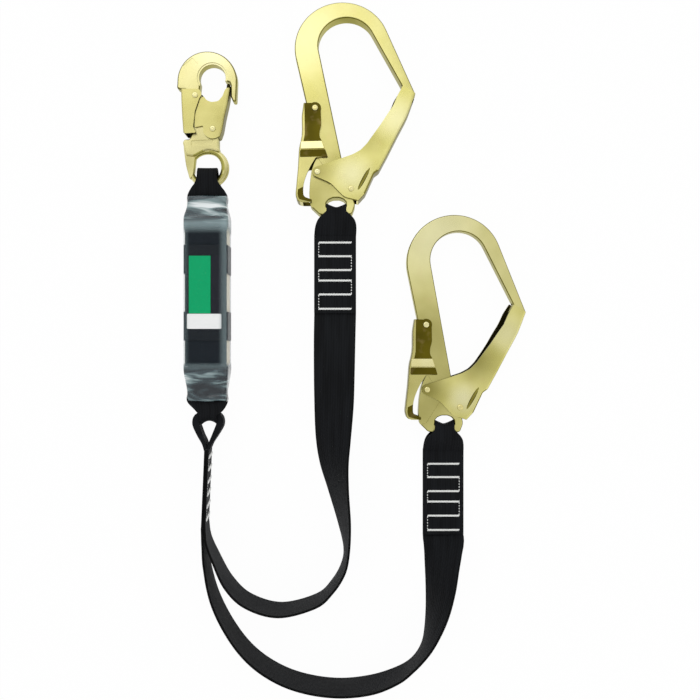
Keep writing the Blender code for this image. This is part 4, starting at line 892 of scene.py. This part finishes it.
def snapRing():
    form = bmesh.new()
    circle = bmesh.ops.create_circle(form, segments=20, radius=snap["ringBar"] / 1000)["verts"]
    bmesh.ops.rotate(form, verts=circle, matrix=Matrix.Rotation(pi / 2, 3, "X"))
    bmesh.ops.translate(form, verts=circle, vec=(snap["ring"] / 1000, 0, 0))
    bmesh.ops.spin(form, geom=form.verts[:] + form.edges[:], axis=(0, 0, 1), angle=2 * pi,
                   steps=72, use_merge=True)
    outer = (snap["ring"] + snap["ringBar"]) / 1000
    for vert in form.verts:  # the bar is drawn thinner at the left and the top
        angle = atan2(vert.co.y, vert.co.x)
        size = 0.74 + 0.38 * max(0.0, cos(angle + 0.25)) ** 1.5 + 0.1 * max(0.0, sin(angle)) ** 4
        reach = outer - (outer - vert.co.xy.length) * size
        vert.co = (reach * cos(angle) + 0.001 * max(0.0, cos(angle)), reach * sin(angle),
                   vert.co.z * min(1.0, size + 0.15))
    bmesh.ops.translate(form, verts=form.verts, vec=(0, snap["ring"] / 1000, 0))
    return finishMesh(form)


def snapBody():
    half = snap["half"]
    pivot = snap["gatePivot"]
    holeX, holeY, holeR = snap["hole"]
    outline = rounded([
        (-33.1, 103.9, 2.5), (-29.7, 102.5, 2.5), (-22.7, 102.5, 2), (-21, 86, 10),
        (-17.8, 70, 10), (-16.5, 56, 8), (-19, 48.5, 3), (-24.9, 48.3, 2.2), (-27.0, 45.2, 4),
        (-23.6, 31, 3), (-14, 30, 6), (0, 38, 12), (13.8, 34, 4),
        (12.1, 40, 8), (12.1, 47.5, 5), (11.4, 51.4, 5), *arc(pivot, 7.8, -30, 60, 8),
        (1, 80, 20), (-5, 90, 12), (-8.5, 100, 8), *arc((holeX, holeY), holeR, 205, -14, 36),
        (24.4, 110.2, 2), (25.6, 106.4, 3), (25.6, 95, 4), (27.8, 89.4, 2.2),
        (31.4, 89.4, 2.2), *arc((-0.2, 111.7), 32.5, 0, 180, 44),
    ])
    slab = plate([outline], -half, half, snap["rim"], 5)
    # a stepped edge round the hole
    step = [point[:2] for point in arc((holeX, holeY), holeR + 2.2, 0, 360, 56)[:-1]]
    ledge = plate([step], half - 0.9, half + 3, 0.3, 2)
    # plain pads, pressed in: one on the crown and one on the neck
    crownPad = moved(plate([rounded([(-7, -4.6, 1.2), (7, -4.6, 1.2), (7, 4.6, 1.2),
                                     (-7, 4.6, 1.2)])], half - 0.35, half + 3, 0.15, 2),
                     Matrix.Translation((-0.0185, 0.1290, 0))
                     @ Matrix.Rotation(radians(40), 4, "Z"))
    neckPad = plate([rounded([(-17.5, 40.6, 1.5), (6.5, 42.4, 1.5), (6.5, 48, 1.5),
                              (-17.5, 47, 1.5)])], half - 0.7, half + 3, 0.35, 2)
    cuts = [ledge, mirrored(ledge), crownPad, neckPad,
            *rivetCuts(snap, (pivot, snap["leverPivot"]))]
    # the web that runs from the neck down the ring's left side
    fin = plate([rounded([(-27.0, 44, 4), (-23.8, 20, 60), (-19.6, 5, 1.2), (-15, 10, 10),
                          (-13, 30, 12), (-10, 42, 4)])], -3.6, 3.6, 1.1, 4)
    body = combine(combine(slab, [fin, snapRing()], "UNION"), cuts)
    forgingLooks(body, half, snap["rim"], 50)
    # painted shade: the ring's inner side is painted olive
    return lookWhere(body, 1, lambda c, n: c.y < 36 and c.x > -17
                     and (c.xy - Vector((0, snap["ring"]))).dot(n.xy) < -2.5)


def snapChannel(web, rim, inside, pivot, inward):
    hole = pin(snap["rivetHole"], -inside - 4, inside + 4, pivot)
    shell = pressedChannel(web, rim, inside, snap["sheet"], snap["fold"], [hole])
    return channelLooks(shell, inside, inside + snap["sheet"], inward, 1, 2)


def snapGate():
    web = [(14.0, 50.9, 3), (16.5, 58.1, 14), (19.2, 73.4, 60), (22.9, 89.5, 60),
           (24.9, 103.5, 0.8)]
    rim = [(21.4, 103.5, 1), (19.4, 101, 2), (17, 94.7, 8), (12.3, 89.1, 5), (4.6, 88.1, 6),
           (-0.6, 90.2, 6), (-3.5, 94.7, 2), (-7.3, 92.1, 2), (-13.3, 73.4, 14),
           (-13.3, 60.7, 1), (-4.1, 62.6, 1), *arc(snap["gatePivot"], 10.8, 200, 300, 12)]
    shell = snapChannel(web, rim, snap["gateIn"], snap["gatePivot"], (-1, 0))
    # the tongue at the gate's tip, which closes the notch in the nose
    tongue = plate([rounded([(19.6, 97.5, 0.5), (24.6, 97.5, 0.5), (25.1, 106.0, 1),
                             (24.0, 109.4, 1.2), (21.2, 109.0, 1.5), (20.4, 103.0, 2)])],
                   -4.5, 4.5, 0.5, 2)
    # painted shade: the whole tongue is painted the near black of a channel's inside
    lookWhere(tongue, 2, lambda c, n: True)
    return together(shell, tongue)


def snapLever():
    web = [(-27.9, 101.9, 1.5), (-27.6, 90.1, 60), (-26.7, 72.1, 60), (-25.5, 55.3, 1.5)]
    rim = [(-23.8, 53.8, 1), (-11.5, 54.4, 1), (-14.6, 60.7, 4), (-12.7, 77.6, 14),
           (-7.7, 92.1, 8), (-5, 95.6, 3), (-7.9, 101.7, 3), (-22.5, 101.9, 0.8)]
    return snapChannel(web, rim, snap["leverIn"], snap["leverPivot"], (1, 0))


addObject("snap_hook_forging", moved(ownCoordinates(snapBody()), snapFrame), "snap_hook",
          "snap_hook_body", [snapSteel, wallSteel, rimSteel])
addObject("snap_hook_pressed_gate", moved(snapGate(), snapFrame), "snap_gate",
          "snap_hook_gate", [pressedSteel, rimSteel, insideSteel])
addObject("snap_hook_pressed_lever", moved(snapLever(), snapFrame), "snap_lock",
          "snap_hook_lock_lever", [pressedSteel, rimSteel, insideSteel])
for name, where, inside in (("gate", snap["gatePivot"], snap["gateIn"]),
                            ("lock", snap["leverPivot"], snap["leverIn"])):
    rivetMesh = atSpot(peenedRivet(inside + snap["sheet"]), where)
    addObject(f"snap_hook_{name}_pin", moved(rivetMesh, snapFrame), "snap_hook",
              f"snap_hook_{name}_rivet", [rivetSteel])
for name, each in nodes.items():
    if name.endswith("_spring"):
        each.data.materials.clear()
        each.data.materials.append(springSteel)
print("snap hook made")


# Absorber pack: a folded stack of tear webbing between two wraps, in a clear tube

pack = {
    "x": -156.4, "low": -105.6, "top": 50.4, "floor": 2.8, "middle": 14.3,
    "layers": 9, "layer": 2.27, "tape": 2.05, "width": 44.6, "endRoom": 1.1,
    "foldHeight": 24.7, "foldWidth": 45, "foldThick": 2.1,
    "bandInside": (45.6, 23.6), "bandWall": 1.0, "bandLength": 31,
    "bands": {"upper_band": 9.4, "lower_band": -62.6},
    # each label's width and length, middle, corner, stock and slot
    "labels": {
        "green_label": ((23.3, 62), (-162.4, -18.1), 0.3, greenStock, "green_panel"),
        "charcoal_label": ((12.5, 62), (-144.2, -18.1), 0.3, charcoalStock, "dark_panel"),
        "white_label": ((37, 16.2), (-157.6, -57.5), 1.2, whiteStock, "white_panel"),
    },
    "labelLow": 27.4, "labelHigh": 27.8,
}
acrossX = Vector((1, 0, 0))


def tearStack():
    # one length of tape laid back and forth, turning over at each end
    rows = []
    turn = pack["layer"] / 2
    low = pack["low"] + turn + pack["endRoom"]
    top = pack["top"] - turn - pack["endRoom"]
    for k in range(pack["layers"]):
        height = pack["floor"] + pack["tape"] / 2 + k * pack["layer"]
        start, end = (low, top) if k % 2 == 0 else (top, low)
        rows += [(start + (end - start) * t, height) for t in (0, 0.25, 0.5, 0.75, 1)]
        if k < pack["layers"] - 1:
            sense = 1 if k % 2 == 0 else -1
            for i in range(1, 6):
                angle = -pi / 2 + pi * i / 6
                rows.append((end + sense * turn * cos(angle),
                             height + turn + turn * sin(angle)))
    stations = [(Vector((pack["x"], y, z)) / 1000, acrossX, pack["width"] / 1000,
                 pack["tape"] / 1000) for y, z in rows]
    return webStrip(stations)


def wrap(middle):
    def loop(extra, corner):
        wide, tall = [size / 2 + extra for size in pack["bandInside"]]
        found = []
        for x, z, start in ((1, 1, 0), (-1, 1, 90), (-1, -1, 180), (1, -1, 270)):
            found += [p[:2] for p in arc((x * (wide - corner), z * (tall - corner)), corner,
                                         start, start + 90, 6)]
        return found
    wall, length = pack["bandWall"], pack["bandLength"]
    ring = plate([loop(wall, wall + 0.9), loop(0, 0.9)], -length / 2, length / 2, 0.25, 2)
    return moved(ring, Matrix.Translation((pack["x"] / 1000, middle / 1000,
                                           pack["middle"] / 1000))
                 @ Matrix.Rotation(pi / 2, 4, "X"))


addWebbing("tear_webbing", tearStack(), "pack", coreWebbing, "_stack")
foldRows = [(pack["low"] + (pack["top"] - pack["low"]) * i / 20) for i in range(21)]
addWebbing("outer_fold", webStrip([
    (Vector((pack["x"], y, pack["foldHeight"])) / 1000, acrossX, pack["foldWidth"] / 1000,
     pack["foldThick"] / 1000) for y in foldRows]), "pack", foldWebbing)
for name, middle in pack["bands"].items():
    addObject(name + "_wrap", wrap(middle), "pack", name, [darkBand])
for name, ((width, length), spot, corner, stock, slot) in pack["labels"].items():
    x, y = width / 2, length / 2
    sheet = plate([rounded([(-x, -y, corner), (x, -y, corner), (x, y, corner),
                            (-x, y, corner)], 15)], pack["labelLow"], pack["labelHigh"], 0.08, 1)
    addObject(name + "_sheet", atSpot(sheet, spot), "pack", name, [stock])

tube = {
    "low": -143.6, "top": 78.4, "full": (48.6, 28.2), "mouth": (43.2, 18.5), "wall": 0.25,
    "around": 96, "rows": 150,
    # it starts to gather this far beyond the stack, and is gathered this far from its ends
    "slack": 2, "flap": 8,
}


def filmTube():
    # a grid wrapped into a tube: full over the stack, gathered into creases past its ends
    around, low, top, slack = tube["around"], tube["low"], tube["top"], tube["slack"]
    packLow, packTop = pack["low"] - slack, pack["top"] + slack
    form = bmesh.new()
    bmesh.ops.create_grid(form, x_segments=around, y_segments=tube["rows"], size=1)
    for vert in form.verts:
        u = round((vert.co.x + 1) / 2 * around) % around
        y = low + (vert.co.y + 1) / 2 * (top - low)
        above = (y - packTop) / (top - tube["flap"] - packTop)
        below = (packLow - y) / (packLow - low - tube["flap"])
        gather = eased(max(above, below))
        width, height = [full + (mouth - full) * gather
                         for full, mouth in zip(tube["full"], tube["mouth"])]
        # a rounded box by its direction from the middle
        angle = 2 * pi * u / around + pi / 4
        across, rise = cos(angle), sin(angle)
        power = 9 - 5 * gather
        reach = (abs(across) ** power + abs(rise) ** power) ** (-1 / power)
        x, z = across * reach * width / 2, rise * reach * height / 2
        loose = gather * (1 - 0.25 * gather)
        folds = noise.noise((x * 0.035 + 7, y * 0.17, z * 0.08))
        fine = noise.noise((x * 0.10, y * 0.45, z * 0.2 + 4))
        push = loose * (2.0 * folds + 0.7 * fine) - 0.35 * loose
        z -= push * (1 if z > 0 else -1) * 0.9
        z = max(-14.2, min(14.3, z))
        ragged = 1.8 * noise.noise((x * 0.06, 2.1, z * 0.05)) * gather
        vert.co = ((pack["x"] + x) / 1000, (y + ragged * (1 if above > 0 else -1)) / 1000,
                   (pack["middle"] + z) / 1000)
    return finishMesh(form, 1e-7)


shrinkTube = addObject("shrink_tube", filmTube(), "pack", "clear_sleeve", [film], 60,
                       False)
wall = shrinkTube.modifiers.new("wall", "SOLIDIFY")
wall.thickness = tube["wall"] / 1000
wall.offset = -1
print("absorber pack made")


# Loops, eye, tabs and their stitching

def strip(rows):
    # rows hold x, y, z, width, thickness in millimetres, drawn through smoothly
    return [(Vector(row[:3]) / 1000, acrossX, row[3] / 1000, row[4] / 1000)
            for row in smoothPath(rows, 2.0)]


legEye = {
    # the eye where it passes through the pack's loop: middle, width, thickness, how far each
    # side stands from the middle, and the room round it
    "place": (-155.2, -159.3), "width": 12, "thick": 7, "side": 13, "room": 1.2, "clear": 0.9,
    "height": 14.3, "bend": 6,
    # the sewn join below it, whose two layers lean a little
    "foot": (-157.55, -275.8), "top": (-154.4, -200.8), "layer": 1.2, "lean": 6.0,
    "joinHeight": 22.5, "faceOut": 2.6,
}
# what the pack's lower loop leaves open for the eye, from its middle
tunnel = ((legEye["thick"] / 2 + legEye["room"]) ** 2
          + (legEye["width"] / 2) ** 2) ** 0.5 + legEye["clear"]

loops = {
    "thick": 2.2, "layer": 1.25, "width": 43,
    # above and below are the room round the bar; widths are at the tip, bar and flare
    "upper_loop": {"bar": (-156.3, 92.7, 11.4), "mouth": 78.4, "end": 50.7, "tip": 109.5,
                   "above": 8.9, "below": 4.3, "widths": (21.5, 26, 35), "sense": 1},
    "lower_loop": {"bar": (-154.2, -159.3, 14.3), "mouth": -143.6, "end": -105.9,
                   "tip": legEye["place"][1] - tunnel - 1.1, "above": tunnel,
                   "below": tunnel, "widths": (18, 18, 30), "sense": -1},
}


def barLoop(name):
    # out of the pack, round a bar and back
    loop = loops[name]
    barX, barY, barZ = loop["bar"]
    mouthY, sense, layer, thick = loop["mouth"], loop["sense"], loops["layer"], loops["thick"]
    tipWidth, barWidth, flareWidth = loop["widths"]
    full, packZ = loops["width"], pack["middle"]
    middle = barZ + (loop["above"] - loop["below"]) / 2
    rise = (loop["above"] + loop["below"] + thick) / 2
    reach = loop["above"] + thick / 2
    tip = loop["tip"] - sense * reach
    flare = barY + (mouthY - barY) * 0.42
    rows = [
        (pack["x"], loop["end"], packZ, layer, full),
        (pack["x"], mouthY - sense * 12, packZ, layer, full),
        (pack["x"], mouthY, packZ * 0.6 + middle * 0.4, layer + (rise - layer) * 0.5, full),
        (barX, flare, middle * 0.8 + packZ * 0.2, rise * 0.86, flareWidth),
        (barX, barY, middle, rise * 0.98, barWidth),
        (barX, tip, middle, rise, tipWidth),
    ]
    upper = [(x, y, z + half, width, thick) for x, y, z, half, width in rows]
    lower = [(x, y, z - half, width, thick) for x, y, z, half, width in rows]
    bend = []
    for i in range(1, 8):
        angle = pi / 2 - pi * i / 8
        bend.append((barX, tip + sense * reach * cos(angle), middle + rise * sin(angle),
                     tipWidth, thick))
    return strip([*upper, *bend, *lower[::-1]])


addWebbing("upper_loop", webStrip(barLoop("upper_loop"), cup=0.0008, seed=2.4), "pack")
lowerRows = barLoop("lower_loop")
# its fold is pulled into an arch by the eye
arch = [Vector((0, 0.0044 * min(1.0, max(0.0, (-0.156 - row[0].y) / 0.013)) ** 1.5, 0))
        for row in lowerRows]
addWebbing("lower_loop", webStrip(lowerRows, cup=0.0008, dips=arch, seed=6.1), "pack")
upright = Vector((0, 0, 1))


def eyeSide(sense):
    # one side from the join's foot up to the middle of the eye: x, y, z, width, thickness and
    # how much of the join's lean it has
    midX, midY = legEye["place"]
    (footX, footY), (topX, topY) = legEye["foot"], legEye["top"]
    side, layer, bend = legEye["side"], legEye["layer"], legEye["bend"]
    height, join = legEye["height"], legEye["joinHeight"]
    width, thick = legEye["width"], legEye["thick"]
    rows = [
        (footX + sense * layer, footY + 0.3, join, 45, 2.2, 1),
        (topX + sense * layer, topY, join, 45, 2.2, 1),
        (topX + sense * (layer + 0.5), -194.5, 21.2, 36, 2.6, 0.9),
        (midX + 0.5 + sense * (layer + 2.4), -188.3, 18.6, 25, 3.6, 0.6),
        (midX + sense * 7.4, -181.3, 16.2, 17.5, 5.0, 0.3),
        (midX + sense * (side - 2.2), -174.3, 15, 14, 6.2, 0),
        (midX + sense * side, midY - tunnel - 0.7, height, width, thick, 0),
    ]
    for i in range(1, 5):
        angle = pi / 2 * i / 4
        rows.append((midX + sense * (side - bend + bend * cos(angle)),
                     midY - bend + bend * sin(angle), height, width, thick, 0))
    return rows


eyeRows = smoothPath([*eyeSide(-1), *eyeSide(1)[::-1]], 2.0)
joinLean = tan(radians(legEye["lean"]))
addWebbing("leg_eye", webStrip([
    (Vector(row[:3]) / 1000, upright + acrossX * joinLean * row[5], row[3] / 1000,
     row[4] / 1000) for row in eyeRows], seed=3.3), "twin_legs")

sewing = {
    # pitch, length and thickness of a stitch and its slant in radians, for the bars across
    # and for the runs that link them
    "bar": (1.75, 3.3, 1.75, 0.75), "link": (2.9, 1.9, 1.1, 0.1), "width": 35.0,
    "joinBar": (1.75, 5.0, 2.8, 0.75), "joinLink": (2.9, 1.9, 0.6, 0.1),
    "joinLow": 5, "joinHigh": 40, "joinStart": 8, "joinSpan": 66, "joinBars": 6,
}


def addSewing(place, rungs, up, bar, link, first):
    # bars joined by runs at alternate sides, from the given side of the first bar
    runs = [(one[(i + first) % 2], two[(i + first) % 2])
            for i, (one, two) in enumerate(zip(rungs, rungs[1:]))]
    mesh = together(stitches(rungs, up, *bar), stitches(runs, up, *link))
    addObject(place + "_sewing", mesh, "twin_legs", place + "_stitching",
              [whiteThread], 80, False)


tabs = {
    "width": 45, "thick": 2.2, "layer": 1.25, "radius": 8.57, "foldWidth": 21.2,
    "foldSag": 4.8,
    "tab_1": {"x": -15.6, "flatX": -17.0, "bar": 59.4, "rest": 26.8, "level": 26.8, "length": 108,
              "rows": (26.8, 12.1, -2.7, -13.9, -28.8, -44.2)},
    "tab_2": {"x": 102.1, "flatX": 102.1, "bar": -174.2, "rest": 10.1, "level": 2.65,
              "length": 118, "rows": (-214.0, -228.7, -244.2, -255.7, -271.3, -287.1)},
    # how far below the bar, and how wide each tab has opened there
    "drops": (28, 24, 20, 16, 12, 8, 4.5, 1),
    "opened": {"tab_1": (45, 45, 44.8, 44, 42, 38, 31.5, 24),
               "tab_2": (45, 44.6, 43.6, 42, 39.6, 35, 28.5, 22.4)},
}


def addTab(name):
    tab = tabs[name]
    width, thick, layer, radius = [tabs[key] for key in ("width", "thick", "layer", "radius")]
    barX, flatX, y = tab["x"], tab["flatX"], tab["bar"]
    rest, level = tab["rest"], tab["level"]
    far = y - tab["length"]
    under, over = [], []
    for sense, rows in ((-1, under), (1, over)):
        rows.append((flatX, far, level + sense * layer, width, thick))
        rows.append((flatX, far * 0.5 + (y - 30) * 0.5, level + sense * layer, width, thick))
        for drop, opened in zip(tabs["drops"], tabs["opened"][name]):
            t = eased((30 - drop) / 24)
            z = (level + sense * layer) * (1 - t) + (rest + sense * radius * 0.97) * t
            rows.append((flatX + (barX - flatX) * t, y - drop, z, opened, thick))
    bend = []
    for i in range(9):
        angle = -pi / 2 + pi * i / 8
        bend.append((barX, y + radius * cos(angle), rest + radius * sin(angle),
                     tabs["foldWidth"], thick))
    stations = strip([*under, *bend, *over[::-1]])
    # the fold sags in its middle where it is pressed into the eye
    dips = [Vector((0, -tabs["foldSag"] / 1000 * max(0.0, (c.y * 1000 - y) / radius) ** 2, 0))
            for c, _, _, _ in stations]
    addWebbing(name, webStrip(stations, cup=0.0003, dips=dips, peak=1.1,
                              seed=len(name) + barX), "twin_legs")
    half, lift = sewing["width"] / 2, (level + layer + thick / 2 + 0.25) / 1000
    rungs = [(((flatX - half) / 1000, row / 1000, lift), ((flatX + half) / 1000, row / 1000, lift))
             for row in tab["rows"]]
    addSewing(name, rungs, upright, sewing["bar"], sewing["link"], 0)


for name in ("tab_1", "tab_2"):
    addTab(name)

# the join's bars stand up its right-hand face
(footX, footY), (topX, topY) = legEye["foot"], legEye["top"]
slope = (topX - footX) / (topY - footY)


def onFace(y, z):
    x = (footX + legEye["faceOut"] + slope * (y - footY)
         + (z - legEye["joinHeight"]) * joinLean)
    return x / 1000, y / 1000, z / 1000


bars = [footY + sewing["joinStart"] + sewing["joinSpan"] * i / (sewing["joinBars"] - 1)
        for i in range(sewing["joinBars"])]
addSewing("eye", [(onFace(y, sewing["joinLow"]), onFace(y, sewing["joinHigh"])) for y in bars],
          Vector((1, -slope, -joinLean)).normalized(), sewing["joinBar"], sewing["joinLink"], 1)
print("loops, eye and tabs made")


# Camera, floor, light and background

studio = {
    # straight above the table, low enough that the legs at the bottom show their sides
    "camera": (-0.001, -0.0883, 0.800), "lens": 37.0,
    "floor": 6, "floorDrop": 0.0006, "floorWhite": 0.97,
    # the world's light, dimmer below the picture than above it
    "world": 0.80, "worldFrom": (-0.05, 0.94), "worldTo": (0.42, 1.10),
    # each softbox's place, aim, size and power
    "lamps": {"key": ((-0.5, 1.1, 1.5), (0, 0, 0), (1.4, 0.7), 2.5),
              "fill": ((1.2, -0.6, 1.3), (0, -0.1, 0), (1.2, 1.2), 1.5)},
}


def seenBy(tree, rays):
    # 1 for these kinds of ray and 0 for the rest, which carry light to the object
    total = 0.0
    for ray in rays:
        total = addNode(tree, "Math", 0, {"operation": "ADD", "use_clamp": True, 0: total,
                                          1: addNode(tree, "LightPath", ray)})
    return total


def floorMaterial():
    # Matt white table: pure white to the camera and to gloss, with the object's soft shadow
    made, tree, shader = newMaterial("matWhiteTable", {
        "Base Color": linear("#FFFFFF"), "Roughness": 1.0, "Specular IOR Level": 0.0})
    seen = seenBy(tree, ("Is Camera Ray", "Is Glossy Ray", "Is Transmission Ray"))
    share = addNode(tree, "Math", 0, {
        "operation": "MULTIPLY", 0: seen, 1: studio["floorWhite"]})
    glow = addNode(tree, "Emission", 0, {"Strength": 1.0})
    both = addNode(tree, "MixShader", 0, {0: share, 1: shader.outputs["BSDF"], 2: glow})
    setUp(tree, tree.nodes["Material Output"], {"Surface": both})
    return made


def studioWorld():
    world = bpy.data.worlds.new("studio")
    bpy.context.scene.world = world
    world.use_nodes = True
    tree = world.node_tree
    direction = addNode(tree, "TexCoord", "Generated")
    (start, dim), (end, bright) = studio["worldFrom"], studio["worldTo"]
    rise = addNode(tree, "MapRange", "Result", {
        "From Min": start, "From Max": end, "To Min": dim, "To Max": bright,
        "interpolation_type": "SMOOTHSTEP",
        "Value": addNode(tree, "SeparateXYZ", "Y", {"Vector": direction})})
    level = addNode(tree, "Math", 0, {"operation": "MULTIPLY", 0: rise, 1: studio["world"]})
    seen = seenBy(tree, ("Is Camera Ray", "Is Transmission Ray"))
    strength = addNode(tree, "Mix", 0, {0: seen, 2: level, 3: 1.0})
    setUp(tree, tree.nodes["Background"], {"Color": (1, 1, 1, 1), "Strength": strength})


def softbox(name, place, target, size, power):
    data = bpy.data.lights.new(name, "AREA")
    data.shape = "RECTANGLE"
    data.size, data.size_y = size
    data.energy = power
    lamp = addToScene(name, data)
    lamp.location = place
    lamp.rotation_euler = (Vector(target) - Vector(place)).to_track_quat("-Z", "Y").to_euler()
    lamp.visible_camera = False


cameraData = bpy.data.cameras.new("camera")
cameraData.lens = studio["lens"]
cameraData.sensor_width = 36
cameraData.clip_start = 0.01
camera = addToScene("camera", cameraData)
camera.location = studio["camera"]
bpy.context.scene.camera = camera
bpy.context.scene.view_settings.view_transform = "Standard"

form = bmesh.new()
bmesh.ops.create_grid(form, x_segments=1, y_segments=1, size=studio["floor"])
bmesh.ops.translate(form, verts=form.verts, vec=(0, 0, -studio["floorDrop"]))
table = addToScene("table", toMesh(form))
table.data.materials.append(floorMaterial())
studioWorld()
for name, (place, target, size, power) in studio["lamps"].items():
    softbox(name, place, target, size, power)
print("studio set")
